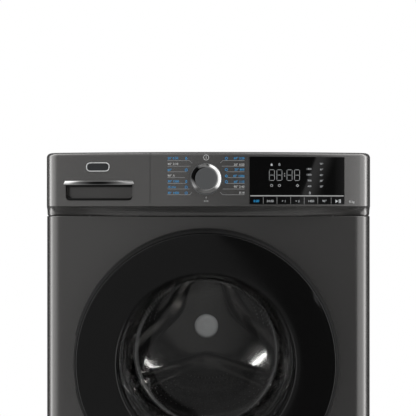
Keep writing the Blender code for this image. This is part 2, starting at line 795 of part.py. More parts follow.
def make_hinge_bracket():
    """The cabinet's half of the hinge: two ears and the pin between them."""
    x = (HINGE_X + 0.004, HINGE_X + 0.026)
    plate = (FRONT_Y - 0.0025, FRONT_Y - GAP)
    z = (AXIS_Z - HINGE_HALF_H, AXIS_Z + HINGE_HALF_H)
    bm = rod(HINGE_PIN_R, z[0] + 0.002, z[1] - 0.002, (HINGE_X, HINGE_Y), "Z", 20)
    item = place("hinge_bracket", bm, "cast_aluminium", door_origin(), True)
    web = arc((HINGE_X, HINGE_Y), 0.005, 170, 350, 8)
    web += [(x[1], plate[0] + 0.001), (x[0], plate[0] + 0.001)]
    for low, high in ((z[0], AXIS_Z - 0.0285), (AXIS_Z + 0.0285, z[1])):
        join(item, prism(web, low, high, "Z"))
    join(item, box(x, plate, z))


def make_door_lock():
    """The lock box behind the front panel, with the slot for the hook."""
    x = (LATCH_X - 0.0020, LATCH_X + 0.0280)
    y = (FRONT_Y + SHEET + GAP, FRONT_Y + 0.032)
    item = place("door_lock", box(x, y, around(AXIS_Z, 0.035)), "black_plastic")
    slot_x = (LATCH_X, LATCH_X + 0.0200)
    cut(item, box(slot_x, (FRONT_Y - 0.01, FRONT_Y + 0.024), around(AXIS_Z, 0.008)))


def cut_lock_slot():
    """The front panel's slot in front of the door lock."""
    slot_x = (LATCH_X, LATCH_X + 0.0200)
    through = (FRONT_Y - 0.01, FRONT_Y + 0.01)
    cut(bpy.data.objects["front_panel"], box(slot_x, through, around(AXIS_Z, 0.008)))


# Tub, gasket and drum


def make_gasket():
    """The rubber bellows between the porthole and the tub's mouth."""
    t = 0.0022
    centre = (AXIS_X, AXIS_Z)
    outer = PORTHOLE_R - GAP
    fold = PORTHOLE_R + 0.0210
    mouth = TUB_MOUTH_R - 0.0065
    lip = PORTHOLE_R - 0.0110
    line = [
        (outer, back(-0.0015)),
        (outer, back(0.030)),
        (fold, back(0.043)),
        (fold, back(0.053)),
        (mouth, back(0.062)),
        (mouth, back(0.084)),
        (mouth - 0.0040, back(0.084)),
    ]
    inner = [
        (mouth - 0.0040, back(0.059)),
        (fold - 2 * t, back(0.0505)),
        (fold - 2 * t, back(0.0455)),
        (outer - t, back(0.033)),
        (outer - t, back(0.004)),
        (lip, back(0.001)),
        (lip, back(-0.0025)),
    ]
    place("door_gasket", lathe(line + inner, centre, segments=40), "gasket_rubber", smooth=True)


def make_tub_front():
    centre = (AXIS_X, AXIS_Z)
    inner = TUB_R - TUB_T
    front = back(TUB_FRONT)
    split = back(TUB_SPLIT)
    profile = [
        (TUB_MOUTH_R - 0.0055, back(0.0640)),
        (TUB_MOUTH_R, back(0.0640)),
        (TUB_MOUTH_R, front),
        (TUB_R - 0.008, front),
        (TUB_R, front + 0.008),
        (TUB_R, split - 0.008),
        (TUB_R + 0.008, split - 0.008),
        (TUB_R + 0.008, split),
        (inner, split),
        (inner, front + 0.010),
        (inner - 0.006, front + 0.004),
        (TUB_MOUTH_R - 0.0055, front + 0.004),
    ]
    place("tub_front", lathe(profile, centre), "tub_plastic", smooth=True)


def tub_lug(side):
    """A lug on the tub's shoulder for its spring."""
    x = sorted((AXIS_X + side * 0.200, side * (SPRING_X + 0.014)))
    return box(x, (0.038, 0.078), (SPRING_FOOT - 0.008, SPRING_FOOT))


def make_tub_rear():
    centre = (AXIS_X, AXIS_Z)
    inner = TUB_R - TUB_T
    split = back(TUB_SPLIT) + GAP
    end = back(TUB_BACK)
    profile = [
        (inner, split),
        (TUB_R + 0.008, split),
        (TUB_R + 0.008, split + 0.008),
        (TUB_R, split + 0.008),
        (TUB_R, end - 0.008),
        (TUB_R - 0.008, end),
        (0.060, end),
        (0.045, back(0.458)),
        (0.0263, back(0.458)),
        (0.0263, back(0.444)),
        (0.020, back(0.444)),
        (0.020, back(0.430)),
        (0.0313, back(0.430)),
        (0.0313, back(0.415)),
        (0.045, back(0.415)),
        (0.060, end - 0.005),
        (inner - 0.006, end - 0.005),
        (inner, end - 0.011),
    ]
    item = place("tub_rear", lathe(profile, centre), "tub_plastic", smooth=True)
    for side in (-1, 1):
        lug = helper(tub_lug(side))
        cut(lug, rod(inner + 0.001, split, end, centre, segments=48))
        join(item, lug)
        low = helper(box(sorted((side * 0.165, side * 0.195)), (0.045, 0.075), (0.262, 0.350)))
        cut(low, rod(inner + 0.001, split, end, centre, segments=48))
        join(item, low)


def make_bearings():
    """Two bearings pressed into the tub's back."""
    sizes = (("bearing_front", 0.0310, 0.4155, 0.4295), ("bearing_rear", 0.0260, 0.4445, 0.4575))
    for name, radius, front, rear in sizes:
        bore = 0.0130 if name == "bearing_front" else 0.0105
        profile = [
            (bore, back(front)),
            (radius, back(front)),
            (radius, back(rear)),
            (bore, back(rear)),
        ]
        place(name, lathe(profile, (AXIS_X, AXIS_Z), segments=32), "bearing_steel", smooth=True)


def drum_origin():
    return (AXIS_X, back(DRUM_BACK), AXIS_Z)


def make_drum_shell():
    centre = (AXIS_X, AXIS_Z)
    inner = DRUM_R - DRUM_T
    front, end = back(DRUM_FRONT), back(DRUM_BACK)
    profile = [
        (DRUM_MOUTH_R, front),
        (DRUM_R - 0.012, front),
        (DRUM_R, front + 0.012),
        (DRUM_R, end),
        (0, end),
        (0, end - DRUM_T),
        (inner, end - DRUM_T),
        (inner, front + 0.0125),
        (inner - 0.011, front + DRUM_T),
        (DRUM_MOUTH_R + 0.006, front + DRUM_T),
        (DRUM_MOUTH_R + 0.006, front + 0.006),
        (DRUM_MOUTH_R, front + 0.006),
    ]
    place("drum_shell", lathe(profile, centre, segments=DRUM_SIDES), "stainless", drum_origin(), True)


def make_lifters():
    """Three hollow-backed paddles, spaced evenly round the drum."""
    start, end = back(DRUM_FRONT + 0.022), back(DRUM_BACK - 0.020)
    inside = (DRUM_R - DRUM_T) * math.cos(math.pi / DRUM_SIDES) - GAP
    base = math.sqrt(inside**2 - 0.030**2)
    outline = [(-0.030, base), (-0.013, base - 0.045), (-0.006, base - 0.052)]
    outline += [(0.006, base - 0.052), (0.013, base - 0.045), (0.030, base)]
    for index in range(LIFTER_COUNT):
        turn = Matrix.Rotation(math.radians(-90 + 360 / LIFTER_COUNT * index), 4, "Y")
        bm = loft(
            [
                [(u, start, v) for u, v in taper(outline, base, 0.70)],
                [(u, start + 0.030, v) for u, v in outline],
                [(u, end - 0.018, v) for u, v in outline],
                [(u, end, v) for u, v in taper(outline, base, 0.80)],
            ]
        )
        bmesh.ops.transform(bm, matrix=Matrix.Rotation(math.pi / 2, 4, "Y"), verts=bm.verts)
        bmesh.ops.transform(bm, matrix=turn, verts=bm.verts)
        bmesh.ops.translate(bm, vec=(AXIS_X, 0, AXIS_Z), verts=bm.verts)
        place(f"drum_lifter_{index + 1}", bm, "stainless", drum_origin())


def taper(outline, base, amount):
    """An outline whose height above its base is reduced."""
    return [(u * (0.6 + 0.4 * amount), base - (base - v) * amount) for u, v in outline]


def make_hub_cap():
    centre = (AXIS_X, AXIS_Z)
    rear = back(DRUM_BACK) - DRUM_T - GAP
    profile = [
        (0, rear),
        (HUB_CAP_R, rear),
        (HUB_CAP_R, rear - 0.003),
        (HUB_CAP_R - 0.006, rear - 0.007),
        (0, rear - 0.009),
    ]
    place("drum_hub_cap", lathe(profile, centre, segments=32), "grey_plastic", drum_origin(), True)


def make_spider_shaft():
    """The three-armed spider cast round the drum's shaft."""
    centre = (AXIS_X, AXIS_Z)
    face = back(DRUM_BACK) + GAP
    profile = [
        (0, face),
        (0.042, face),
        (0.042, face + 0.012),
        (0.0180, face + 0.0200),
        (0.0125, face + 0.0200),
        (0.0125, back(0.437)),
        (0.0100, back(0.437)),
        (0.0100, back(0.492)),
        (0, back(0.492)),
    ]
    item = place("drum_spider", lathe(profile, centre, segments=32), "cast_aluminium", drum_origin(), True)
    for index in range(3):
        bm = box((0.030, 0.232), (face, face + 0.010), (-0.016, 0.016))
        turn = Matrix.Rotation(math.radians(30 + 120 * index), 4, "Y")
        bmesh.ops.transform(bm, matrix=turn, verts=bm.verts)
        bmesh.ops.translate(bm, vec=(AXIS_X, 0, AXIS_Z), verts=bm.verts)
        join(item, bm)


def make_pulley():
    """The drum's large belt pulley, a rim on a web."""
    centre = (AXIS_X, AXIS_Z)
    front, rear = back(PULLEY_FRONT), back(PULLEY_FRONT + PULLEY_W)
    middle = (front + rear) / 2
    profile = [
        (0.0100 + GAP, front - 0.004),
        (0.024, front - 0.004),
        (0.028, middle - 0.002),
        (PULLEY_R - 0.005, middle - 0.002),
        (PULLEY_R - 0.005, front),
        (PULLEY_R, front),
        (PULLEY_R, rear),
        (PULLEY_R - 0.005, rear),
        (PULLEY_R - 0.005, middle + 0.002),
        (0.028, middle + 0.002),
        (0.024, rear),
        (0.0100 + GAP, rear),
    ]
    item = place("drum_pulley", lathe(profile, centre), "cast_aluminium", drum_origin(), True)
    for index in range(5):
        angle = math.radians(72 * index)
        hole = (AXIS_X + 0.080 * math.cos(angle), AXIS_Z + 0.080 * math.sin(angle))
        cut(item, rod(0.026, front - 0.01, rear + 0.01, hole, segments=12))


def make_motor_pulley():
    centre = (MOTOR_X, MOTOR_Z)
    front, rear = back(PULLEY_FRONT), back(PULLEY_FRONT + PULLEY_W)
    profile = [
        (0, back(0.4400) + GAP),
        (0.0060, back(0.4400) + GAP),
        (0.0060, front - 0.002),
        (MOTOR_PULLEY_R, front - 0.002),
        (MOTOR_PULLEY_R, rear + 0.002),
        (0, rear + 0.002),
    ]
    place("motor_pulley", lathe(profile, centre, segments=24), "bearing_steel", (MOTOR_X, front, MOTOR_Z), True)


def belt_outline(extra):
    """Outer tangents and wrap round both pulleys, larger than them by extra."""
    big, small = PULLEY_R + extra, MOTOR_PULLEY_R + extra
    lean = math.degrees(math.asin((big - small) / (AXIS_Z - MOTOR_Z)))
    upper = arc((AXIS_X, AXIS_Z), big, -lean, 180 + lean, 32)
    lower = arc((MOTOR_X, MOTOR_Z), small, 180 + lean, 360 - lean, 8)
    return upper + lower


def make_belt():
    outer, inner = belt_outline(GAP + BELT_T), belt_outline(GAP)
    start, end = back(PULLEY_FRONT + 0.001), back(PULLEY_FRONT + PULLEY_W - 0.001)
    bm = bmesh.new()
    rings = []
    for outline, y in ((outer, start), (outer, end), (inner, end), (inner, start)):
        rings.append([bm.verts.new((x, y, z)) for x, z in outline])
    for first, second in zip(rings, rings[1:] + rings[:1]):
        for i in range(len(first)):
            j = (i + 1) % len(first)
            bm.faces.new((first[i], first[j], second[j], second[i]))
    place("drive_belt", bm, "black_rubber", smooth=True)


def make_motor():
    """The motor slung under the tub by two lugs."""
    centre = (MOTOR_X, MOTOR_Z)
    front, rear = back(0.270), back(0.440)
    profile = [
        (0, front),
        (MOTOR_R - 0.010, front),
        (MOTOR_R, front + 0.012),
        (MOTOR_R, rear - 0.016),
        (MOTOR_R - 0.018, rear - 0.004),
        (0.018, rear),
        (0, rear),
    ]
    item = place("motor", lathe(profile, centre, segments=32), "galvanised", smooth=True)
    top = AXIS_Z - TUB_R - GAP - 0.0012
    for y in (front + 0.035, rear - 0.045):
        join(item, box(around(MOTOR_X, 0.022), around(y, 0.010), (MOTOR_Z, top)))


def make_counterweight():
    """The concrete block on the tub's shoulder."""
    lean = arc((AXIS_X, AXIS_Z), TUB_R + 0.0086, 112, 48, 12)
    right = lean[-1][0]
    left = lean[0][0]
    outline = [(left, 0.800)] + lean + [(right, 0.800)]
    bm = prism(outline, back(0.150), back(0.300), "Y")
    item = place("counterweight", bm, "concrete")
    cut(item, box((-1, 0.012), (-1, 1), (0.7995, 0.9)))


def make_heater():
    """The heating element, a bent rod low in the tub, let in through the tub's back."""
    z = AXIS_Z - TUB_R + 0.0115
    bm = rod(0.0030, back(0.150), back(0.400), (0.020, z), segments=12)
    item = place("heater", bm, "bearing_steel")
    join(item, rod(0.0030, back(0.150), back(0.400), (-0.028, z), segments=12))
    join(item, box((-0.0305, 0.0225), (back(0.146), back(0.152)), (z - 0.0025, z + 0.0025)))
    join(item, box((-0.034, 0.026), (back(0.396), back(0.4195)), around(z, 0.0035)))


def make_springs():
    """Two coil springs that hang the tub from the cabinet."""
    for name, side in (("spring_left", -1), ("spring_right", 1)):
        centre = (side * SPRING_X, SPRING_Y)
        bm = coil(centre, 0.0095, 0.0016, SPRING_FOOT + GAP, SPRING_TOP - GAP, 8)
        origin = (*centre, (SPRING_FOOT + SPRING_TOP) / 2)
        place(name, bm, "galvanised", origin, smooth=True)


def coil(centre, radius, wire, low, high, turns):
    """A closed wire wound round an upright axis."""
    per_turn, around_wire = 8, 5
    count = turns * per_turn
    low, high = low + wire, high - wire
    rings = []
    for i in range(count + 1):
        angle = math.tau * i / per_turn
        out = Vector((math.cos(angle), math.sin(angle), 0))
        point = Vector((*centre, low + (high - low) * i / count)) + out * radius
        ring = []
        for k in range(around_wire):
            a = math.tau * k / around_wire
            ring.append(point + out * (wire * math.cos(a)) + Vector((0, 0, wire * math.sin(a))))
        rings.append(ring)
    return loft(rings)


def make_dampers():
    """Two friction dampers that stand between the base and the tub."""
    for name, side in (("damper_left", -1), ("damper_right", 1)):
        centre = (side * 0.180, 0.060)
        low = FOOT_H + 0.004 + FLOOR_T + GAP
        profile = [
            (0, low),
            (0.016, low),
            (0.016, 0.150),
            (0.007, 0.152),
            (0.007, 0.2617),
            (0, 0.2617),
        ]
        place(name, lathe(profile, centre, "Z", 16), "galvanised", smooth=True)


# Drain filter and pump


def make_drain_pump():
    """The pump and its filter chamber, which opens behind the hatch."""
    centre = (FILTER_X, FILTER_Z)
    front, rear = back(0.034), back(0.150)
    profile = [
        (0.0270, front),
        (0.0360, front),
        (0.0360, rear),
        (0.0280, rear + 0.004),
        (0.0280, rear + 0.055),
        (0, rear + 0.055),
        (0, back(0.110)),
        (0.0270, back(0.110)),
    ]
    item = place("drain_pump", lathe(profile, centre, segments=32), "white_plastic", smooth=True)
    low = FOOT_H + 0.004 + FLOOR_T + GAP
    join(item, box(around(FILTER_X, 0.020), (front + 0.010, rear - 0.010), (low, FILTER_Z - 0.030)))


def make_filter_cap():
    """The screw cap with its grip bar and the filter's barrel behind."""
    centre = (FILTER_X, FILTER_Z)
    face, rear = back(0.024), back(0.034) - GAP
    profile = [
        (0, face),
        (FILTER_R, face),
        (FILTER_R + 0.001, rear),
        (0.0262, rear),
        (0.0255, back(0.095)),
        (0, back(0.095)),
    ]
    item = place("filter_cap", lathe(profile, centre, segments=32), "grey_plastic", (FILTER_X, face, FILTER_Z), True)
    join(item, box(around(FILTER_X, 0.024), (back(0.008), face + 0.001), around(FILTER_Z, 0.004)))


def make_filter_hatch():
    """The flush hatch, hinged along its lower edge, with a finger notch at the top."""
    origin = ((HATCH_X[0] + HATCH_X[1]) / 2, FRONT_Y, HATCH_Z[0])
    bm = box(HATCH_X, (FRONT_Y, FRONT_Y + HATCH_T), HATCH_Z)
    item = place("filter_hatch", bm, "graphite_paint", origin)
    notch = rod(0.014, FRONT_Y - 0.01, FRONT_Y + 0.01, (origin[0], HATCH_Z[1] + 0.004), segments=24)
    cut(item, notch)


# Rear connections


def make_inlet_valve():
    """The water inlet valve with its threaded port through the rear wall."""
    y = WALL_Y - SHEET - GAP
    item = place("inlet_valve", box(around(INLET_X, 0.022), (y - 0.045, y), around(INLET_Z, 0.022)), "white_plastic")
    join(item, rod(0.0132, y - 0.01, DEPTH / 2, (INLET_X, INLET_Z), segments=24))
    cut(item, rod(0.0085, DEPTH / 2 - 0.020, DEPTH / 2 + 0.01, (INLET_X, INLET_Z), segments=16))


def make_cable_gland():
    """The mains entry's gland, with its hole through."""
    profile = [
        (0.0045, WALL_Y - 0.010),
        (0.0080, WALL_Y - 0.010),
        (0.0080, WALL_Y + GAP),
        (0.0125, WALL_Y + GAP),
        (0.0115, WALL_Y + 0.006),
        (0.0045, WALL_Y + 0.006),
    ]
    place("cable_gland", lathe(profile, (0.230, 0.100), segments=20), "black_plastic", smooth=True)


def main():
    clear_scene()
    make_cabinet_wrap()
    make_rear_cover()
    make_front_panel()
    make_top_plate()
    make_base_tray()
    make_feet()
    make_control_panel()
    make_display_window()
    make_keys()
    make_control_board()
    make_knob()
    make_nameplate()
    make_drawer_front()
    make_drawer_handle()
    make_drawer_tray()
    make_dispenser_housing()
    make_door_rim()
    make_door_face()
    make_door_glass()
    make_door_inner_ring()
    make_hinge_arm()
    make_latch_hook()
    make_hinge_bracket()
    make_door_lock()
    cut_lock_slot()
    make_gasket()
    make_tub_front()
    make_tub_rear()
    make_bearings()
    make_drum_shell()
    make_lifters()
    make_hub_cap()
    make_spider_shaft()
    make_pulley()
    make_motor_pulley()
    make_belt()
    make_motor()
    make_counterweight()
    make_heater()
    make_springs()
    make_dampers()
    make_drain_pump()
    make_filter_cap()
    make_filter_hatch()
    make_inlet_valve()
    make_cable_gland()


main()
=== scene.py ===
"""Front load washing machine: its visual model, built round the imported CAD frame.

Metres throughout. +Z is up, the front faces -Y and +X is to the right as seen from the front.
"""

import sys
import json
import logging
import math
import random
from dataclasses import dataclass, field
from enum import Enum
from typing import Callable, ClassVar, Iterable, Mapping, Sequence

import bmesh
import bpy
from mathutils import Matrix, Quaternion, Vector


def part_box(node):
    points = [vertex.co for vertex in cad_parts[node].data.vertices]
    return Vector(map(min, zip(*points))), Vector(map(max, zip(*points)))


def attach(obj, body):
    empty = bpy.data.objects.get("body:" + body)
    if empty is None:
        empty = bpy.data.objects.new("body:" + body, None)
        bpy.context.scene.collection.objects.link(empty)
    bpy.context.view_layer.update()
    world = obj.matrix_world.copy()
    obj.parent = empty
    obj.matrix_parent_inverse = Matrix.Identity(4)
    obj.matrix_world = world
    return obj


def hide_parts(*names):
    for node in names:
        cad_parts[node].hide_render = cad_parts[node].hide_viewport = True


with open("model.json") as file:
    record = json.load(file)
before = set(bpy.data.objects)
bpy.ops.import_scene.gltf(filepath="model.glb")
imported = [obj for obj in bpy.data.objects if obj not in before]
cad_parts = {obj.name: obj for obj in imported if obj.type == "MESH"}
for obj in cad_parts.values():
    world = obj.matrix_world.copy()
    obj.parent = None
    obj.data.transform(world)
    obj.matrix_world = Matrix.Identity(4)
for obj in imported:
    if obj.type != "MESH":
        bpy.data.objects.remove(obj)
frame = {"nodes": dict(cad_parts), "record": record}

log = logging.getLogger("washing_machine")

Point2 = tuple[float, float]
Point3 = tuple[float, float, float]
Corner = tuple[float, float, float]
Colour = tuple[float, float, float, float]
Tree = bpy.types.NodeTree
Node = bpy.types.Node
Socket = bpy.types.NodeSocket
Mesh = bmesh.types.BMesh

MM = 0.001
BODY_OF = {
    node: body for body, nodes in frame["record"]["behaviour"]["bodies"].items() for node in nodes
}


# ---- colour and node tools


def to_linear(code: str) -> Colour:
    """Turns a colour to linear light.

    Args:
        code: sRGB hex code such as "#4E5052".

    Returns:
        Linear red, green, blue and an alpha of one.
    """
    parts = [int(code[i : i + 2], 16) / 255 for i in (1, 3, 5)]
    linear = [c / 12.92 if c <= 0.04045 else ((c + 0.055) / 1.055) ** 2.4 for c in parts]
    return (linear[0], linear[1], linear[2], 1.0)


def placed(name: str, data: bpy.types.ID) -> bpy.types.Object:
    """Makes an object of some data and puts it in the scene."""
    item = bpy.data.objects.new(name, data)
    bpy.context.scene.collection.objects.link(item)
    return item


def meshed(name: str, bm: Mesh) -> bpy.types.Object:
    """Turns a bmesh, which is used up, into an object in the scene."""
    mesh = bpy.data.meshes.new(name)
    bm.to_mesh(mesh)
    bm.free()
    return placed(name, mesh)


def add(
    tree: Tree, kind: str, inputs: Mapping[str | int, object] | None = None, **settings: object
) -> Node:
    """Adds one node with its settings and links.

    Args:
        tree: Node tree that gets the node.
        kind: Blender's type name of the node.
        inputs: Socket name or number to a value, or to another node's output socket.
        settings: Attributes set on the node.

    Returns:
        The new node.
    """
    node = tree.nodes.new(kind)
    for key, value in settings.items():
        setattr(node, key, value)
    for key, value in (inputs or {}).items():
        if isinstance(value, Socket):
            tree.links.new(value, node.inputs[key])
        else:
            node.inputs[key].default_value = value
    return node


def per_metre(size_mm: float) -> float:
    """Texture scale whose features are this many millimetres across."""
    return 1000.0 / size_mm


def ramp(tree: Tree, factor: Socket, stops: Sequence[tuple[float, Colour]]) -> Socket:
    """Adds a colour ramp.

    Args:
        tree: Node tree that gets the ramp.
        factor: Socket that drives it.
        stops: Positions with their linear colours, in rising order.

    Returns:
        The ramp's colour output.
    """
    node = add(tree, "ShaderNodeValToRGB", {"Fac": factor})
    elements = node.color_ramp.elements
    while len(elements) < len(stops):
        elements.new(0.5)
    for element, (position, colour) in zip(elements, stops):
        element.position = position
        element.color = colour
    return node.outputs["Color"]


def shade(colour: Sequence[float], amount: float) -> Colour:
    """A linear colour made lighter or darker by a factor."""
    return (colour[0] * amount, colour[1] * amount, colour[2] * amount, 1.0)


# ---- finishes


@dataclass(frozen=True)
class Finish:
    """A surface finish that becomes one node material, made once.

    Attributes:
        name: Material name.
        slot: Material slot of the record that the finish belongs to; not used.
        colour: Main sRGB colour.
        roughness: Mean microscopic roughness.
    """

    name: str
    slot: str
    colour: str
    roughness: float

    def material(self) -> bpy.types.Material:
        """Returns the finish's material and makes it on first use."""
        if self.name in bpy.data.materials:
            return bpy.data.materials[self.name]
        made = bpy.data.materials.new(self.name)
        made.use_nodes = True
        tree = made.node_tree
        tree.nodes.clear()
        where = add(tree, "ShaderNodeTexCoord").outputs["Object"]
        shader = add(tree, "ShaderNodeBsdfPrincipled")
        result = self.dress(tree, shader, where)
        add(tree, "ShaderNodeOutputMaterial", {"Surface": result})
        made.diffuse_color = to_linear(self.colour)
        return made

    def dress(self, tree: Tree, shader: Node, where: Socket) -> Socket:
        """Sets up the shader on Object coordinates and returns the socket of the surface."""
        raise NotImplementedError

    def mottle(
        self, tree: Tree, shader: Node, vector: Socket, size_mm: float, spread: float,
        rough_spread: float, detail: float = 3.0,
    ) -> Socket:
        """Varies colour and roughness a little over the surface.

        Args:
            tree: The material's node tree.
            shader: Its Principled shader.
            vector: Coordinates of the pattern.
            size_mm: Size of the patches in millimetres.
            spread: Share by which the colour is darkened and lightened.
            rough_spread: Amount by which the roughness falls and rises.
            detail: Octaves of the noise.

        Returns:
            The noise's factor.
        """
        noise = add(
            tree, "ShaderNodeTexNoise", {"Vector": vector, "Scale": per_metre(size_mm), "Detail": detail}
        ).outputs["Fac"]
        base = to_linear(self.colour)
        colour = ramp(tree, noise, [(0.3, shade(base, 1 - spread)), (0.7, shade(base, 1 + spread))])
        tree.links.new(colour, shader.inputs["Base Color"])
        rough = add(
            tree, "ShaderNodeMapRange",
            {
                "Value": noise, "From Min": 0.3, "From Max": 0.7,
                "To Min": max(self.roughness - rough_spread, 0.0), "To Max": self.roughness + rough_spread,
            },
        ).outputs["Result"]
        tree.links.new(rough, shader.inputs["Roughness"])
        return noise

    def bump(self, tree: Tree, shader: Node, height: Socket, depth_mm: float) -> None:
        """Raises the surface by a height pattern.

        Args:
            tree: The material's node tree.
            shader: Its Principled shader.
            height: Pattern from zero to one.
            depth_mm: Depth of the pattern in millimetres.
        """
        node = add(
            tree, "ShaderNodeBump", {"Height": height, "Strength": 1.0, "Distance": depth_mm * MM}
        )
        tree.links.new(node.outputs["Normal"], shader.inputs["Normal"])


@dataclass(frozen=True)
class Paint(Finish):
    """Metallic paint with flakes under a thin clear coat and a slight orange peel.

    Attributes:
        metallic: Share of light that the flakes return like metal.
        flake_mm: Size of the glitter patches.
        peel_mm: Spacing of the orange peel.
        coat: Weight of the clear coat.
    """

    metallic: float = 0.7
    flake_mm: float = 0.7
    peel_mm: float = 2.4
    coat: float = 0.25

    def dress(self, tree: Tree, shader: Node, where: Socket) -> Socket:
        """See Finish.dress."""
        shader.inputs["Metallic"].default_value = self.metallic
        shader.inputs["Coat Weight"].default_value = self.coat
        shader.inputs["Coat Roughness"].default_value = 0.12
        self.mottle(tree, shader, where, self.flake_mm, 0.07, 0.03, 2.0)
        peel = add(
            tree, "ShaderNodeTexNoise", {"Vector": where, "Scale": per_metre(self.peel_mm), "Detail": 1.0}
        )
        self.bump(tree, shader, peel.outputs["Fac"], 0.004)
        return shader.outputs["BSDF"]


@dataclass(frozen=True)
class Moulded(Finish):
    """Injection-moulded plastic with a spark-eroded grain.

    Attributes:
        grain_mm: Spacing of the grain.
        depth_mm: Depth of the grain.
        ior: Refractive index, lower for a surface that scatters its shine.
    """

    grain_mm: float = 0.6
    depth_mm: float = 0.03
    ior: float = 1.49

    def dress(self, tree: Tree, shader: Node, where: Socket) -> Socket:
        """See Finish.dress."""
        shader.inputs["IOR"].default_value = self.ior
        self.mottle(tree, shader, where, 18.0, 0.05, 0.04)
        grain = add(
            tree, "ShaderNodeTexVoronoi", {"Vector": where, "Scale": per_metre(self.grain_mm)},
            feature="SMOOTH_F1",
        )
        self.bump(tree, shader, grain.outputs["Distance"], self.depth_mm)
        return shader.outputs["BSDF"]


@dataclass(frozen=True)
class Gloss(Finish):
    """High-gloss acrylic, polished in the mould, with faint wiping smears.

    Attributes:
        smear_mm: Length of the smears.
    """

    smear_mm: float = 45.0

    def dress(self, tree: Tree, shader: Node, where: Socket) -> Socket:
        """See Finish.dress."""
        shader.inputs["IOR"].default_value = 1.49
        stretched = add(
            tree, "ShaderNodeMapping", {"Vector": where, "Scale": (1.0, 1.0, 0.35)}
        ).outputs["Vector"]
        self.mottle(tree, shader, stretched, self.smear_mm, 0.10, self.roughness * 0.4, 4.0)
        return shader.outputs["BSDF"]


class Grain(Enum):
    """How a metal surface was made."""

    PLATED = "plated"
    BRUSHED = "brushed"
    SPUN = "spun"
    SPANGLED = "spangled"
    CAST = "cast"


@dataclass(frozen=True)
class Metal(Finish):
    """Bare or plated metal.

    Attributes:
        grain: How the surface was made.
        centre: Point that a spun grain turns round.
    """

    grain: Grain = Grain.PLATED
    centre: Point3 = (0.0, 0.0, 0.0)

    def dress(self, tree: Tree, shader: Node, where: Socket) -> Socket:
        """See Finish.dress."""
        shader.inputs["Metallic"].default_value = 1.0
        if self.grain is Grain.PLATED:
            self.mottle(tree, shader, where, 30.0, 0.03, self.roughness * 0.35)
        elif self.grain is Grain.BRUSHED:
            lines = add(
                tree, "ShaderNodeMapping", {"Vector": where, "Scale": (1.0, 0.03, 1.0)}
            ).outputs["Vector"]
            noise = self.mottle(tree, shader, lines, 0.9, 0.10, 0.08)
            self.bump(tree, shader, noise, 0.01)
        elif self.grain is Grain.SPUN:
            moved = add(
                tree, "ShaderNodeMapping", {"Vector": where, "Location": tuple(-c for c in self.centre)}
            ).outputs["Vector"]
            flat = add(
                tree, "ShaderNodeVectorMath", {0: moved, 1: (1.0, 0.0, 1.0)}, operation="MULTIPLY"
            ).outputs["Vector"]
            radius = add(tree, "ShaderNodeVectorMath", {0: flat}, operation="LENGTH")
            rings = add(tree, "ShaderNodeCombineXYZ", {"X": radius.outputs["Value"]})
            noise = self.mottle(tree, shader, rings.outputs["Vector"], 0.8, 0.10, 0.08)
            self.bump(tree, shader, noise, 0.012)
        elif self.grain is Grain.SPANGLED:
            cells = add(
                tree, "ShaderNodeTexVoronoi",
                {"Vector": where, "Scale": per_metre(14.0), "Randomness": 1.0}, feature="F1",
            )
            tone = add(tree, "ShaderNodeSeparateColor", {"Color": cells.outputs["Color"]})
            base = to_linear(self.colour)
            colour = ramp(
                tree, tone.outputs["Red"], [(0.0, shade(base, 0.78)), (1.0, shade(base, 1.15))]
            )
            tree.links.new(colour, shader.inputs["Base Color"])
            rough = add(
                tree, "ShaderNodeMapRange",
                {
                    "Value": tone.outputs["Green"], "To Min": self.roughness - 0.10,
                    "To Max": self.roughness + 0.12,
                },
            ).outputs["Result"]
            tree.links.new(rough, shader.inputs["Roughness"])
        else:
            noise = self.mottle(tree, shader, where, 1.6, 0.16, 0.10)
            self.bump(tree, shader, noise, 0.25)
        return shader.outputs["BSDF"]


@dataclass(frozen=True)
class ChromeWithPaintedReflection(Finish):
    """Bright plating with a dark patch painted into its colour: a painted dark reflection.

    Attributes:
        centre: Middle of the painted dark reflection in world x, y and z.
        half: Half width and half height of the painted dark reflection.
        dark: sRGB colour of the painted dark reflection.
    """

    centre: Point3 = (0.0, 0.0, 0.0)
    half: Point2 = (0.030, 0.003)
    dark: str = "#151515"

    def dress(self, tree: Tree, shader: Node, where: Socket) -> Socket:
        """See Finish.dress."""
        shader.inputs["Metallic"].default_value = 1.0
        self.mottle(tree, shader, where, 30.0, 0.02, self.roughness * 0.3)
        # Mask of the painted dark reflection: dark in its middle, fading out to the bright plating.
        lens = add(
            tree, "ShaderNodeMapping",
            {
                "Vector": where,
                "Location": (-self.centre[0] / self.half[0], 0.0, -self.centre[2] / self.half[1]),
                "Scale": (1 / self.half[0], 0.0, 1 / self.half[1]),
            },
        ).outputs["Vector"]
        reach = add(tree, "ShaderNodeVectorMath", {0: lens}, operation="LENGTH").outputs["Value"]
        part = add(
            tree, "ShaderNodeMapRange", {"Value": reach, "From Min": 0.6, "From Max": 2.0}
        ).outputs["Result"]
        colour = ramp(
            tree, part,
            [(0.0, to_linear(self.dark)), (0.35, to_linear("#8A8A8A")), (1.0, to_linear(self.colour))],
        )
        tree.links.new(colour, shader.inputs["Base Color"])
        return shader.outputs["BSDF"]


@dataclass(frozen=True)
class Rubber(Finish):
    """Moulded elastomer with a dusty bloom.

    Attributes:
        sheen: Weight of the dusty sheen.
    """

    sheen: float = 0.25

    def dress(self, tree: Tree, shader: Node, where: Socket) -> Socket:
        """See Finish.dress."""
        shader.inputs["IOR"].default_value = 1.52
        shader.inputs["Sheen Weight"].default_value = self.sheen
        shader.inputs["Sheen Roughness"].default_value = 0.5
        noise = self.mottle(tree, shader, where, 9.0, 0.12, 0.08, 5.0)
        self.bump(tree, shader, noise, 0.06)
        return shader.outputs["BSDF"]


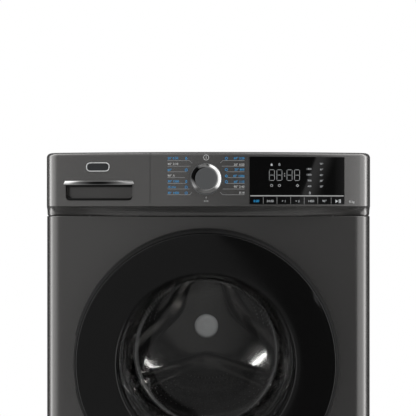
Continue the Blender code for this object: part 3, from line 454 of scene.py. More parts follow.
@dataclass(frozen=True)
class TintedGlass(Finish):
    """Pressed soda-lime glass, tinted smoke grey, that lets lamps shine through."""

    def dress(self, tree: Tree, shader: Node, where: Socket) -> Socket:
        """See Finish.dress."""
        shader.inputs["IOR"].default_value = 1.50
        shader.inputs["Transmission Weight"].default_value = 1.0
        noise = self.mottle(tree, shader, where, 60.0, 0.04, self.roughness * 0.5)
        self.bump(tree, shader, noise, 0.15)
        clear = add(tree, "ShaderNodeBsdfTransparent", {"Color": shade(to_linear(self.colour), 0.9)})
        path = add(tree, "ShaderNodeLightPath")
        mixed = add(
            tree, "ShaderNodeMixShader",
            {0: path.outputs["Is Shadow Ray"], 1: shader.outputs["BSDF"], 2: clear.outputs["BSDF"]},
        )
        return mixed.outputs["Shader"]


@dataclass(frozen=True)
class Print(Finish):
    """Screen-printed ink or a lit display segment.

    Attributes:
        lit_and_painted_glow: Strength of the light that it gives off: a lit segment's own light, and painted
            light on printed ink, which is no lamp.
    """

    lit_and_painted_glow: float = 0.0

    def dress(self, tree: Tree, shader: Node, where: Socket) -> Socket:
        """See Finish.dress."""
        self.mottle(tree, shader, where, 1.2, 0.10, 0.05)
        if self.lit_and_painted_glow:
            shader.inputs["Emission Color"].default_value = to_linear(self.colour)
            shader.inputs["Emission Strength"].default_value = self.lit_and_painted_glow
        return shader.outputs["BSDF"]


@dataclass(frozen=True)
class Stone(Finish):
    """Poured concrete with aggregate."""

    def dress(self, tree: Tree, shader: Node, where: Socket) -> Socket:
        """See Finish.dress."""
        noise = self.mottle(tree, shader, where, 6.0, 0.25, 0.05, 8.0)
        self.bump(tree, shader, noise, 1.2)
        return shader.outputs["BSDF"]


@dataclass(frozen=True)
class CircuitBoard(Finish):
    """Green solder mask over copper tracks on a fine grid."""

    def dress(self, tree: Tree, shader: Node, where: Socket) -> Socket:
        """See Finish.dress."""
        turned_over = add(
            tree, "ShaderNodeMapping", {"Vector": where, "Rotation": (math.pi / 2, 0.0, 0.0)}
        ).outputs["Vector"]
        tracks = add(
            tree, "ShaderNodeTexBrick",
            {
                "Vector": turned_over, "Color1": shade(to_linear(self.colour), 0.8),
                "Color2": to_linear(self.colour), "Mortar": shade(to_linear(self.colour), 1.9),
                "Scale": per_metre(8.0), "Mortar Size": 0.05,
            },
        )
        tree.links.new(tracks.outputs["Color"], shader.inputs["Base Color"])
        shader.inputs["Roughness"].default_value = self.roughness
        self.bump(tree, shader, tracks.outputs["Fac"], 0.04)
        return shader.outputs["BSDF"]


# Graphite powder coat on the steel body: a soft satin grey with a fine metallic glitter.
BODY_PAINT = Paint("graphite_powder_coat", "graphite_paint", "#757473", 0.22, metallic=0.78)
# The same grey sprayed on the moulded panel, a little smoother, so reflections are tighter.
PANEL_PAINT = Paint(
    "graphite_sprayed_abs", "graphite_fascia", "#858483", 0.21, metallic=0.78, peel_mm=3.5
)
# Rim of the door, moulded in dark ABS with a faint grain: nearly black, its shine spread wide.
RIM_PAINT = Moulded(
    "dark_graphite_rim", "rim_graphite", "#0F0F0F", 0.50, grain_mm=0.5, depth_mm=0.004, ior=1.3
)
# Piano-black acrylic, mould-polished: mirrors the studio sharply.
PIANO_BLACK = Gloss("piano_black_acrylic", "black_gloss", "#090909", 0.05)
# Smoked window over the display, mould-polished.
DISPLAY_BLACK = Gloss("smoked_display_acrylic", "black_gloss", "#070707", 0.035)
# Touch keys in the same acrylic, slightly duller from use.
KEY_BLACK = Gloss("touch_key_acrylic", "key_black", "#0B0B0C", 0.09, smear_mm=14.0)
# Smoke-grey pressed glass of the porthole.
GLASS = TintedGlass("smoked_pressed_glass", "tinted_glass", "#A8A8A7", 0.02)
# Raised ring of the blank badge, sprayed silver: a bright line round a dull field.
PLATE_METAL = Paint("badge_ring_silver", "nameplate_grey", "#F4F5F5", 0.34, metallic=0.1)
# Moulded black plastic with a matt grain.
BLACK_PLASTIC = Moulded("black_moulded_pp", "black_plastic", "#1B1B1C", 0.48)
GREY_PLASTIC = Moulded("grey_moulded_pp", "grey_plastic", "#8D9092", 0.46)
WHITE_PLASTIC = Moulded("white_moulded_pp", "white_plastic", "#E1E2E0", 0.44)
# Glass-filled polypropylene of the tub: chalky, with flow marks.
TUB_PLASTIC = Moulded("filled_tub_pp", "tub_plastic", "#C5C7C5", 0.55, grain_mm=1.4)
# Hot-dip galvanised sheet with its spangle.
GALVANISED = Metal("spangled_zinc_sheet", "galvanised", "#A9ADB0", 0.40, Grain.SPANGLED)
CAST_ALUMINIUM = Metal("sand_cast_aluminium", "cast_aluminium", "#9A9C9E", 0.48, Grain.CAST)
BEARING_STEEL = Metal("ground_bearing_steel", "bearing_steel", "#8C8F92", 0.20, Grain.BRUSHED)
# EPDM bellows, mid grey with a dusty bloom.
GASKET = Rubber("grey_epdm_bellows", "gasket_rubber", "#6B6D6F", 0.55)
BLACK_RUBBER = Rubber("black_neoprene", "black_rubber", "#161616", 0.72)
CONCRETE = Stone("poured_concrete", "concrete", "#8F8C86", 0.90)
BOARD = CircuitBoard("green_solder_mask", "circuit_board", "#1E5A36", 0.42)
# Melamine laminate of the worktop in the body's grey, with a pebbled press plate grain.
LAMINATE = Moulded("pebbled_melamine", "top_laminate", "#47494B", 0.42, grain_mm=1.1, depth_mm=0.05)
# Blue and pale inks screen-printed on the panel, and the lit segments of the display. The inks' glow is
# painted light: printed ink gives off no light.
BLUE_INK_PAINTED_GLOW = Print("blue_screen_ink_painted_glow", "graphite_fascia", "#2C8FC9", 0.45, lit_and_painted_glow=0.42)
PALE_INK_PAINTED_GLOW = Print("pale_screen_ink_painted_glow", "graphite_fascia", "#C4C5C5", 0.45, lit_and_painted_glow=0.28)
LIT_WHITE = Print("lit_display_white", "black_gloss", "#B4B6B8", 0.40, lit_and_painted_glow=0.40)
LIT_BLUE = Print("lit_display_blue", "black_gloss", "#2C9BD8", 0.40, lit_and_painted_glow=0.55)
# Printed grey lines over and between the keys, with a glow that is painted light.
LINE_GREY_PAINTED_GLOW = Print("printed_key_line_painted_glow", "black_gloss", "#A6A6A6", 0.40, lit_and_painted_glow=0.22)


# ---- mesh tools


class Axis(Enum):
    """World axis."""

    X = 0
    Y = 1
    Z = 2


def at(axis: Axis, across: Point2, along: float) -> Vector:
    """A point from two coordinates across an axis and one along it."""
    if axis is Axis.X:
        return Vector((along, across[0], across[1]))
    if axis is Axis.Y:
        return Vector((across[0], along, across[1]))
    return Vector((across[0], across[1], along))


def soften(corners: Sequence[Corner], closed: bool = True, steps: int = 5) -> list[Point2]:
    """Rounds the corners of an outline.

    Args:
        corners: Points (u, v, cut), where cut is how far from the corner the rounding starts.
        closed: Whether the outline closes on itself.
        steps: Segments in each rounded corner.

    Returns:
        The rounded outline.
    """
    found: list[Point2] = []
    last = len(corners) - 1
    for i, (u, v, cut) in enumerate(corners):
        here = Vector((u, v))
        if cut <= 0 or (not closed and i in (0, last)):
            found.append((u, v))
            continue
        before = Vector(corners[i - 1][:2]) - here
        after = Vector(corners[(i + 1) % len(corners)][:2]) - here
        start = here + before.normalized() * min(cut, before.length * 0.49)
        end = here + after.normalized() * min(cut, after.length * 0.49)
        for k in range(steps + 1):
            t = k / steps
            point = start * (1 - t) ** 2 + here * (2 * t * (1 - t)) + end * t**2
            found.append((point.x, point.y))
    return found


def rectangle(u: Point2, v: Point2, cut: float, steps: int = 5) -> list[Point2]:
    """A rectangle between pairs of limits with rounded corners."""
    corners = ((u[1], v[1], cut), (u[0], v[1], cut), (u[0], v[0], cut), (u[1], v[0], cut))
    return soften(corners, True, steps)


def circle(centre: Point2, radius: float, count: int, start: float = 0.0) -> list[Point2]:
    """Points evenly spaced on a circle."""
    return [
        (
            centre[0] + radius * math.cos(start + math.tau * i / count),
            centre[1] + radius * math.sin(start + math.tau * i / count),
        )
        for i in range(count)
    ]


def closed_up(bm: Mesh) -> Mesh:
    """Merges doubles, fills open ends and turns the faces outwards."""
    bmesh.ops.remove_doubles(bm, verts=bm.verts, dist=1e-6)
    rims = [edge for edge in bm.edges if edge.is_boundary]
    if rims:
        bmesh.ops.holes_fill(bm, edges=rims, sides=0)
    bmesh.ops.recalc_face_normals(bm, faces=bm.faces)
    return bm


def revolved(
    profile: Sequence[Point2], centre: Point2, axis: Axis, steps: int, closed: bool = False
) -> Mesh:
    """Spins a profile round an axis and leaves its ends as they are.

    Args:
        profile: Points (radius, position along the axis).
        centre: Where the axis stands, in the two other directions.
        axis: Axis of the turning.
        steps: Segments of the full turn.
        closed: Whether the profile closes on itself.

    Returns:
        The turned surface.
    """
    bm = bmesh.new()
    verts = [bm.verts.new(at(axis, (centre[0] + r, centre[1]), s)) for r, s in profile]
    for a, b in zip(verts, verts[1:] + (verts[:1] if closed else [])):
        bm.edges.new((a, b))
    direction = Vector((0.0, 0.0, 0.0))
    direction[axis.value] = 1.0
    bmesh.ops.spin(
        bm, geom=[*bm.verts, *bm.edges], cent=at(axis, centre, 0.0), axis=direction, dvec=(0.0, 0.0, 0.0),
        angle=math.tau, steps=steps, use_merge=True, use_duplicate=False,
    )
    return bm


def turned(
    profile: Sequence[Point2], centre: Point2, axis: Axis = Axis.Y, steps: int = 128, closed: bool = True
) -> Mesh:
    """A closed solid, as revolved() makes it; a profile left open starts and ends on the axis."""
    return closed_up(revolved(profile, centre, axis, steps, closed))


def skinned(rings: Sequence[Sequence[Vector]], wrap: bool = True) -> Mesh:
    """Bridges rings of points into one skin.

    Args:
        rings: Rings with the same number of points.
        wrap: Whether each ring closes on itself. Closed rings get their ends filled.

    Returns:
        The skin, a closed solid when the rings are closed.
    """
    bm = bmesh.new()
    loops = []
    for ring in rings:
        verts = [bm.verts.new(point) for point in ring]
        pairs = zip(verts, verts[1:] + (verts[:1] if wrap else []))
        loops.append([bm.edges.new(pair) for pair in pairs])
    for low, high in zip(loops, loops[1:]):
        bmesh.ops.bridge_loops(bm, edges=low + high)
    return closed_up(bm) if wrap else bm


def slab(outline: Sequence[Point2], near: float, far: float, axis: Axis = Axis.Y) -> Mesh:
    """Extrudes an outline along an axis.

    Args:
        outline: Closed outline in the two other directions.
        near: Where it starts on the axis.
        far: Where it ends on the axis.
        axis: Axis of the extrusion.

    Returns:
        The closed solid.
    """
    bm = bmesh.new()
    face = bm.faces.new([bm.verts.new(at(axis, point, near)) for point in outline])
    grown = bmesh.ops.extrude_face_region(bm, geom=[face])["geom"]
    move = at(axis, (0.0, 0.0), far - near)
    bmesh.ops.translate(bm, vec=move, verts=[v for v in grown if isinstance(v, bmesh.types.BMVert)])
    return closed_up(bm)


def block(x: Point2, y: Point2, z: Point2, edge: float = 0.0, segments: int = 2) -> Mesh:
    """A box between pairs of limits with rounded edges.

    Args:
        x: Limits in x.
        y: Limits in y.
        z: Limits in z.
        edge: Size of the rounded edges.
        segments: Segments of each rounded edge.

    Returns:
        The closed solid.
    """
    bm = bmesh.new()
    size = [hi - lo for lo, hi in (x, y, z)]
    middle = [(hi + lo) / 2 for lo, hi in (x, y, z)]
    matrix = Matrix.Translation(middle) @ Matrix.Diagonal((*size, 1.0))
    bmesh.ops.create_cube(bm, size=1.0, matrix=matrix)
    return eased(bm, edge, segments) if edge else bm


def eased(
    bm: Mesh, size: float, segments: int = 2, angle: float = 30.0,
    where: Callable[[Vector], bool] | None = None,
) -> Mesh:
    """Rounds the sharp edges of a mesh.

    Args:
        bm: The mesh.
        size: Size of the rounding.
        segments: Segments across it.
        angle: Smallest angle in degrees between two faces that counts as sharp.
        where: Test on an edge's middle that picks the edges.

    Returns:
        The same mesh.
    """
    edges = [
        edge for edge in bm.edges if edge.is_manifold and edge.calc_face_angle(0.0) > math.radians(angle)
        and (where is None or where((edge.verts[0].co + edge.verts[1].co) / 2))
    ]
    bmesh.ops.bevel(
        bm, geom=edges, offset=size, offset_type="OFFSET", segments=segments, profile=0.5,
        affect="EDGES", material=-1, clamp_overlap=True,
    )
    return bm


def merged(parts: Iterable[Mesh]) -> Mesh:
    """Gathers several meshes in one and frees them."""
    whole = bmesh.new()
    for part in parts:
        mesh = bpy.data.meshes.new("part")
        part.to_mesh(mesh)
        part.free()
        whole.from_mesh(mesh)
        bpy.data.meshes.remove(mesh)
    return whole


def loose(bm: Mesh, name: str = "loose") -> bpy.types.Object:
    """Makes a temporary object for a modifier to work on."""
    return meshed(name, bm)


def settled(item: bpy.types.Object) -> Mesh:
    """Applies an object's modifiers and removes the object, leaving its mesh."""
    bpy.context.view_layer.update()
    graph = bpy.context.evaluated_depsgraph_get()
    evaluated = item.evaluated_get(graph)
    bm = bmesh.new()
    bm.from_mesh(evaluated.to_mesh())
    evaluated.to_mesh_clear()
    bpy.data.objects.remove(item, do_unlink=True)
    return bm


def carved(bm: Mesh, cutter: Mesh, operation: str = "DIFFERENCE") -> Mesh:
    """Cuts one solid from another, or joins them.

    Args:
        bm: The solid that stays.
        cutter: The other solid, which is used up.
        operation: Boolean operation.

    Returns:
        The result.
    """
    item, tool = loose(bm), loose(cutter, "cutter")
    modifier = item.modifiers.new("carve", "BOOLEAN")
    modifier.operation = operation
    modifier.solver = "EXACT"
    modifier.object = tool
    result = settled(item)
    bpy.data.objects.remove(tool, do_unlink=True)
    return result


def thickened(bm: Mesh, thickness: float, offset: float = -1.0) -> Mesh:
    """Gives an open skin a wall on its inner side."""
    item = loose(bm)
    modifier = item.modifiers.new("wall", "SOLIDIFY")
    modifier.thickness = thickness
    modifier.offset = offset
    modifier.use_even_offset = True
    return settled(item)


def facing(bm: Mesh, inside: Vector) -> Mesh:
    """Makes an open skin's faces agree and point away from an inner point."""
    bmesh.ops.recalc_face_normals(bm, faces=bm.faces)
    outward = sum((f.calc_center_median() - inside).dot(f.normal) * f.calc_area() for f in bm.faces)
    if outward < 0:
        bmesh.ops.reverse_faces(bm, faces=bm.faces)
    return bm


def lettered(text: str, size: float, anchor: str = "LEFT") -> Mesh:
    """A flat mesh of numerals and signs in the XZ plane, read from the front.

    Args:
        text: Generic numerals and signs.
        size: Height of the letters' body.
        anchor: Blender's name of the horizontal alignment.

    Returns:
        The mesh, with its anchor at the origin and its middle at half height.
    """
    curve = bpy.data.curves.new("marks", "FONT")
    curve.body = text
    curve.size = size
    curve.align_x = anchor
    curve.align_y = "CENTER"
    curve.resolution_u = 2
    bm = settled(placed("marks", curve))
    bpy.data.curves.remove(curve)
    bmesh.ops.rotate(bm, verts=bm.verts, cent=(0, 0, 0), matrix=Matrix.Rotation(math.pi / 2, 3, "X"))
    return bm


def piece(
    name: str, bm: Mesh, finish: Finish, body: str, replaces: Sequence[str] = (), smooth: float = 34.0,
    weighted: bool = False,
) -> bpy.types.Object:
    """Turns a mesh into a finished piece of the machine.

    Args:
        name: Name of the piece.
        bm: Its mesh in place, which is used up.
        finish: Its finish.
        body: CAD body that it moves with.
        replaces: CAD nodes that it stands for.
        smooth: Largest angle in degrees that is shaded smooth.
        weighted: Whether the shading leans to the large faces.

    Returns:
        The piece.
    """
    item = meshed(name, bm)
    mesh = item.data
    mesh.shade_smooth()
    mesh.set_sharp_from_angle(angle=math.radians(smooth))
    mesh.materials.append(finish.material())
    if weighted:
        modifier = item.modifiers.new("normals", "WEIGHTED_NORMAL")
        modifier.keep_sharp = True
    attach(item, body)
    if replaces:
        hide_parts(*replaces)
    log.info("%s: %d faces, rides on %s", name, len(mesh.polygons), body)
    return item


def dress_node(node: str, finish: Finish) -> None:
    """Gives a carried-over CAD node its finish."""
    item = frame["nodes"][node]
    for slot in item.material_slots:
        slot.material = finish.material()
    log.info("%s: carried over in %s", node, finish.name)


def screw(head: Vector, out: Vector, radius: float, height: float) -> Mesh:
    """A pan-head screw with a cross recess.

    Args:
        head: Middle of the seat under the head.
        out: Direction that the head faces.
        radius: Radius of the head.
        height: Height of the head.

    Returns:
        The closed solid.
    """
    crown = [(radius * 0.55, height, 0), (radius, height * 0.75, height * 0.5), (radius, 0.0, 0)]
    profile = [(0.0, height), *soften(crown, False, 3), (0.0, 0.0)]
    bm = turned(profile, (0.0, 0.0), Axis.Z, 16, closed=False)
    arm, slot = radius * 0.62, radius * 0.16
    for x, y in ((arm, slot), (slot, arm)):
        bm = carved(bm, block((-x, x), (-y, y), (height * 0.45, height * 2)))
    turn = Vector((0, 0, 1)).rotation_difference(out).to_matrix().to_4x4()
    bmesh.ops.transform(bm, matrix=Matrix.Translation(head) @ turn, verts=bm.verts)
    return bm


# ---- datums


@dataclass(frozen=True)
class Datums:
    """Planes and axes of the frame that the sub-assemblies share."""

    half_width: float
    height: float
    front: float
    seam: float
    wall: float
    plinth_top: float
    door_x: float
    door_z: float

    @classmethod
    def read(cls) -> "Datums":
        """Reads the datums from the CAD nodes."""
        panel, top, wrap, glass = (
            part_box(n) for n in ("front_panel", "top_plate", "cabinet_wrap", "door_glass")
        )
        return cls(
            half_width=top[1].x, height=top[1].z, front=panel[0].y, seam=wrap[0].y, wall=wrap[1].y,
            plinth_top=panel[0].z, door_x=(glass[0].x + glass[1].x) / 2,
            door_z=(glass[0].z + glass[1].z) / 2,
        )

    def back(self, depth: float) -> float:
        """World y this far behind the front panel."""
        return self.front + depth

    @property
    def door(self) -> Point2:
        """The door's axis in x and z."""
        return (self.door_x, self.door_z)


D = Datums.read()


def sliced(bm: Mesh, places: Iterable[float]) -> None:
    """Cuts a mesh across at places along x, so that it can bend there."""
    for x in places:
        geom = [*bm.verts, *bm.edges, *bm.faces]
        bmesh.ops.bisect_plane(bm, geom=geom, dist=1e-6, plane_co=(x, 0, 0), plane_no=(1, 0, 0))


@dataclass(frozen=True)
class BowedForm:
    """The bowed form that the control panel and the drawer front share.

    Attributes:
        bow: Radius of the bowed face.
        corner: Radius of its upright corners.
        proud: How far its middle stands ahead of the front panel.
        band: Height of the lower band that leans back.
        band_back: How far the band leans.
        edge: Radius of the top edge.
        split: x of the joint between drawer front and control panel.
        shell: Thickness of the moulded wall.
    """

    bow: float = 1.645
    corner: float = 0.030
    proud: float = 0.022
    band: float = 0.0174
    band_back: float = 0.014
    edge: float = 0.008
    split: float = -0.1042
    shell: float = 0.0025

    @property
    def bottom(self) -> float:
        """Lowest z of the form."""
        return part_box("control_panel")[0].z

    @property
    def centre_y(self) -> float:
        """World y of the bow's centre."""
        return D.front - self.proud + self.bow

    def face(self, x: float, inset: float = 0.0) -> float:
        """World y of the bowed face at this x, drawn in by an inset."""
        return self.centre_y - math.sqrt((self.bow - inset) ** 2 - x * x)

    def plan(self, inset: float, lean: float, behind: float) -> list[Point2]:
        """Outline seen from above.

        Args:
            inset: How far it is drawn in.
            lean: How far the face moves back.
            behind: How far the rear stands behind the usual plane.

        Returns:
            The closed outline from the left rear corner to the right rear corner.
        """
        bow, corner = self.bow - inset, self.corner - inset
        reach = self.bow - self.corner
        start = math.asin((D.half_width - self.corner) / reach)
        middle = (reach * math.sin(start), self.centre_y - reach * math.cos(start))
        right = []
        for i in range(1, 29):
            angle = start * i / 28
            right.append((bow * math.sin(angle), self.centre_y - bow * math.cos(angle)))
        for i in range(1, 15):
            angle = start + (math.pi / 2 - start) * i / 14
            right.append((middle[0] + corner * math.sin(angle), middle[1] - corner * math.cos(angle)))
        front = [(-x, y) for x, y in right[::-1]] + [(0.0, self.centre_y - bow)] + right
        rear = D.seam - 0.0006
        front = [
            (x, min(y + lean * (1 - 0.55 * smooth_step(abs(x), 0.245, 0.292)), rear - 0.004))
            for x, y in front
        ]
        side = D.half_width - inset
        return [(-side, rear + behind), *front, (side, rear + behind)]

    def solid(self, inset: float = 0.0, behind: float = 0.0) -> Mesh:
        """The whole bowed form, drawn in by an inset."""
        low, high = self.bottom + inset, D.height - inset
        turn = self.edge - inset
        levels = [(low, 0.0010, self.band_back)]
        for i in range(1, 11):
            t = i / 10
            lean = self.band_back * math.cos(t * math.pi / 2) ** 0.8
            levels.append((low + 0.0008 + (self.band - 0.0008) * t, 0.0, lean))
        levels += [(self.bottom + self.band + 0.0008, 0.0, 0.0)]
        for i in range(9):
            angle = math.pi / 2 * i / 8
            levels.append((high - turn + turn * math.sin(angle), turn * (1 - math.cos(angle)), 0.0))
        rings = []
        for z, more, lean in levels:
            rings.append([Vector((x, y, z)) for x, y in self.plan(inset + more, lean, behind)])
        return skinned(rings)

    def plate(self, outline: Sequence[Point2], outer: float, inner: float, cells: int = 16) -> Mesh:
        """A plate that follows the bowed face.

        Args:
            outline: Outline in x and z.
            outer: Inset of its front from the face, negative when proud.
            inner: Inset of its rear.
            cells: Strips that it is cut into so that it can bend.

        Returns:
            The closed solid.
        """
        bm = slab(outline, 0.0, 1.0)
        xs = [p[0] for p in outline]
        sliced(bm, (min(xs) + (max(xs) - min(xs)) * i / cells for i in range(1, cells)))
        for vert in bm.verts:
            vert.co.y = self.face(vert.co.x, outer if vert.co.y < 0.5 else inner)
        bmesh.ops.recalc_face_normals(bm, faces=bm.faces)
        return bm

    def printed(self, bm: Mesh, proud: float) -> Mesh:
        """Lays a flat mark on the bowed face, as far ahead of it as the ink is thick."""
        xs = [vert.co.x for vert in bm.verts]
        strip = 0.006
        sliced(bm, (i * strip for i in range(math.floor(min(xs) / strip), math.ceil(max(xs) / strip))))
        bmesh.ops.triangulate(bm, faces=bm.faces)
        for vert in bm.verts:
            vert.co.y = self.face(vert.co.x, -proud)
        bmesh.ops.recalc_face_normals(bm, faces=bm.faces)
        forward = sum(f.normal.y * f.calc_area() for f in bm.faces)
        if forward > 0:
            bmesh.ops.reverse_faces(bm, faces=bm.faces)
        return bm


BOW = BowedForm()


# ---- cabinet


@dataclass
class Cabinet:
    """Painted steel body: front panel, wrapped sides, top, base, back and feet."""

    corner: float = 0.034
    rear_corner: float = 0.012
    sheet: float = 0.0012
    porthole: float = 0.180
    swage: float = 0.0022
    body: str = "cabinet"

    def build(self) -> None:
        """Builds every piece of the cabinet."""
        self.front_panel()
        self.wrap()
        self.top()
        self.rear_cover()
        self.plinth()
        self.feet()
        self.hatch()
        self.rear_fittings()

    def front_plan(self, inset: float) -> list[Point2]:
        """Plan of the front panel from the left seam to the right, drawn in by an inset."""
        side, radius = D.half_width - inset, self.corner - inset
        y, rear = D.front + inset, D.seam - 0.0006
        turn = [math.pi / 2 * i / 18 for i in range(19)]
        left = [
            (-side + radius - radius * math.cos(a), y + radius - radius * math.sin(a)) for a in turn
        ]
        return [(-side, rear)] + left + [(-x, v) for x, v in left[::-1]] + [(side, rear)]

    def front_panel(self) -> None:
        """The folded front panel with its rolled top edge."""
        low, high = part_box("front_panel")[0].z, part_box("front_panel")[1].z
        radius = 0.0016
        levels = [(low, 0.0), (high - radius, 0.0)]
        for i in range(1, 6):
            angle = math.pi / 2 * i / 5
            levels.append((high - radius + radius * math.sin(angle), radius * (1 - math.cos(angle))))
        levels.append((high, 0.012))
        rings = [[Vector((x, y, z)) for x, y in self.front_plan(inset)] for z, inset in levels]
        bm = facing(skinned(rings, wrap=False), Vector((0, 0, 0.4)))
        bm = thickened(bm, self.sheet)
        through = (D.front - 0.01, D.front + 0.01)
        bm = carved(bm, slab(circle(D.door, self.porthole, 128), *through))
        x, z = hatch_opening()
        bm = carved(bm, slab(rectangle(x, z, 0.003), *through))
        slot_x = (D.door_x + 0.192, D.door_x + 0.212)
        slot_z = (D.door_z - 0.008, D.door_z + 0.008)
        bm = carved(bm, slab(rectangle(slot_x, slot_z, 0.002), *through))
        piece("front_panel_skin", bm, BODY_PAINT, self.body, ["front_panel"], weighted=True)

    def wrap(self) -> None:
        """The sides and back in one wrapped sheet, with pressed swages on the sides."""
        low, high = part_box("cabinet_wrap")[0].z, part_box("cabinet_wrap")[1].z
        radius, side = self.rear_corner, D.half_width
        swage_y, swage_z = (D.seam + 0.070, D.wall - 0.070), (0.150, 0.735)
        slope = 0.012
        depths = [D.seam, *fade_points(*swage_y, slope)]
        left = [(-side, y) for y in depths]
        for i in range(9):
            a = math.pi / 2 * i / 8
            left.append((-side + radius - radius * math.cos(a), D.wall - radius + radius * math.sin(a)))
        plan = left + [(-x, y) for x, y in left[::-1]]
        levels = [low, *fade_points(*swage_z, slope), high]
        rings = []
        for z in levels:
            ring = []
            for x, y in plan:
                pressed = self.swage * fade(y, *swage_y, slope) * fade(z, *swage_z, slope)
                inward = pressed if abs(x) > side - 1e-6 else 0.0
                ring.append(Vector((x - math.copysign(inward, x), y, z)))
            rings.append(ring)
        bm = facing(skinned(rings, wrap=False), Vector((0, 0, 0.4)))
        bm = thickened(bm, self.sheet)
        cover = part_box("rear_cover")
        margin = 0.012
        through = (D.wall - 0.01, D.wall + 0.01)
        opening = rectangle(
            (cover[0].x + margin, cover[1].x - margin), (cover[0].z + margin, cover[1].z - margin), 0.015
        )
        bm = carved(bm, slab(opening, *through))
        bm = carved(bm, slab(circle((-0.200, 0.790), 0.014, 32), *through))
        bm = carved(bm, slab(circle((0.230, 0.100), 0.0085, 32), *through))
        for z in (0.735, 0.742, 0.749, 0.756):
            for x in (0.10, 0.13, 0.16, 0.19):
                bm = carved(bm, slab(rectangle((x, x + 0.022), (z + 0.03, z + 0.033), 0.0014, 3), *through))
        piece("side_wrap_skin", bm, BODY_PAINT, self.body, ["cabinet_wrap"], weighted=True)
        tabs = []
        for sign in (-1, 1):
            x = sorted((sign * 0.258, sign * (side - self.sheet)))
            tabs.append(block(x, (0.040, 0.075), (0.805, 0.808), 0.0008))
        piece("spring_tabs", merged(tabs), GALVANISED, self.body)

    def top(self) -> None:
        """The laminated top with its rounded edge and a rear trim strip."""
        low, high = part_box("top_plate")
        outline = rectangle((low.x, high.x), (low.y, high.y - 0.010), 0.006)
        bm = eased(slab(outline, low.z, high.z, Axis.Z), 0.0022, 3, 50)
        piece("laminated_top", bm, LAMINATE, self.body, ["top_plate"], weighted=True)
        trim = slab(rectangle((low.x, high.x), (high.y - 0.0097, high.y), 0.004), low.z, high.z, Axis.Z)
        piece("top_rear_trim", eased(trim, 0.0016, 3, 50), BLACK_PLASTIC, self.body)

    def rear_cover(self) -> None:
        """The pressed cover over the belt drive, with swages and its screws."""
        low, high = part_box("rear_cover")
        mid_x, mid_z = (low.x + high.x) / 2, (low.z + high.z) / 2
        half_x, half_z = (high.x - low.x) / 2, (high.z - low.z) / 2
        bm = bmesh.new()
        matrix = Matrix.Translation((mid_x, high.y, mid_z)) @ Matrix.Rotation(-math.pi / 2, 4, "X")
        bmesh.ops.create_grid(
            bm, x_segments=110, y_segments=140, size=1.0,
            matrix=matrix @ Matrix.Diagonal((half_x, half_z, 1.0, 1.0)),
        )
        flange, rise = 0.014, 0.008
        for vert in bm.verts:
            u, w = vert.co.x - mid_x, vert.co.z - mid_z
            edge = min(half_x - abs(u), half_z - abs(w))
            pan = smooth_step(edge, flange, flange + rise)
            depth = (high.y - low.y - 0.0009) * (1 - pan)
            radius = math.hypot(u, vert.co.z - D.door_z)
            ring = smooth_step(radius, 0.150, 0.156) * (1 - smooth_step(radius, 0.166, 0.172))
            ribs = max(
                fade(vert.co.z, z, z + 0.012, 0.005) * fade(u, -half_x + 0.05, half_x - 0.05, 0.01)
                for z in (mid_z - 0.225, mid_z - 0.19, mid_z + 0.205)
            )
            vert.co.y = high.y - depth - 0.003 * pan * max(ring, ribs)
        bm = thickened(facing(bm, Vector((mid_x, high.y - 1, mid_z))), 0.0008)
        piece("rear_cover_pressing", bm, GALVANISED, self.body, ["rear_cover"])
        screws = []
        seat = low.y + 0.0011
        for sx in (-1, 0, 1):
            for sz in (-1, -0.34, 0.34, 1):
                if sx == 0 and abs(sz) < 1:
                    continue
                head = Vector((mid_x + sx * (half_x - 0.0075), seat, mid_z + sz * (half_z - 0.0075)))
                screws.append(screw(head, Vector((0, 1, 0)), 0.0042, 0.0024))
        piece("rear_cover_screws", merged(screws), BEARING_STEEL, self.body)

    def plinth(self) -> None:
        """The moulded base, hollow, with a rounded lower edge and holes for the feet."""
        low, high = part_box("base_tray")
        wall = 0.003
        outer = rectangle((low.x, high.x), (low.y, high.y), 0.030, 10)
        bm = slab(outer, low.z, high.z, Axis.Z)
        bm = eased(bm, 0.0035, 3, 50, lambda p: p.z < low.z + 0.002)
        inner = rectangle((low.x + wall, high.x - wall), (low.y + wall, high.y - wall), 0.027, 10)
        bm = carved(bm, slab(inner, low.z + wall, high.z + 0.01, Axis.Z))
        for foot in foot_nodes():
            centre = middle_of(foot)
            bm = carved(bm, slab(circle((centre.x, centre.y), 0.006, 24), low.z - 0.01, low.z + 0.01, Axis.Z))
        piece("moulded_base", bm, BLACK_PLASTIC, self.body, ["base_tray"], weighted=True)

    def feet(self) -> None:
        """Four levelling feet: ribbed rubber pad, hexagonal lock nut and threaded stem."""
        for foot in foot_nodes():
            low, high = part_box(foot)
            centre = ((low.x + high.x) / 2, (low.y + high.y) / 2)
            radius = (high.x - low.x) / 2
            pad = [(0.0, 0.0), (radius - 0.003, 0.0), (radius, 0.0015), (radius, 0.0035)]
            pad += [(radius - 0.001, 0.004), (radius - 0.001, 0.0048), (radius, 0.0053), (radius, 0.007)]
            pad += [(radius - 0.003, 0.0088), (0.010, 0.0105), (0.0, 0.0105)]
            bm = turned(pad, centre, Axis.Z, 48, closed=False)
            piece(f"{foot}_pad", bm, BLACK_RUBBER, BODY_OF[foot], [foot])
            stem = [(0.0, 0.010)]
            turns = 18
            for i in range(turns):
                z = 0.0160 + (high.z - 0.0165) * i / turns
                stem += [(0.0044, z), (0.0050, z + 0.0006)]
            stem.append((0.0, high.z))
            stem[1] = (0.0044, 0.010)
            metal = turned(stem, centre, Axis.Z, 24, closed=False)
            nut = slab(circle(centre, 0.0092, 6), 0.0106, 0.0155, Axis.Z)
            piece(f"{foot}_stem", merged([metal, eased(nut, 0.0006, 2)]), GALVANISED, BODY_OF[foot])

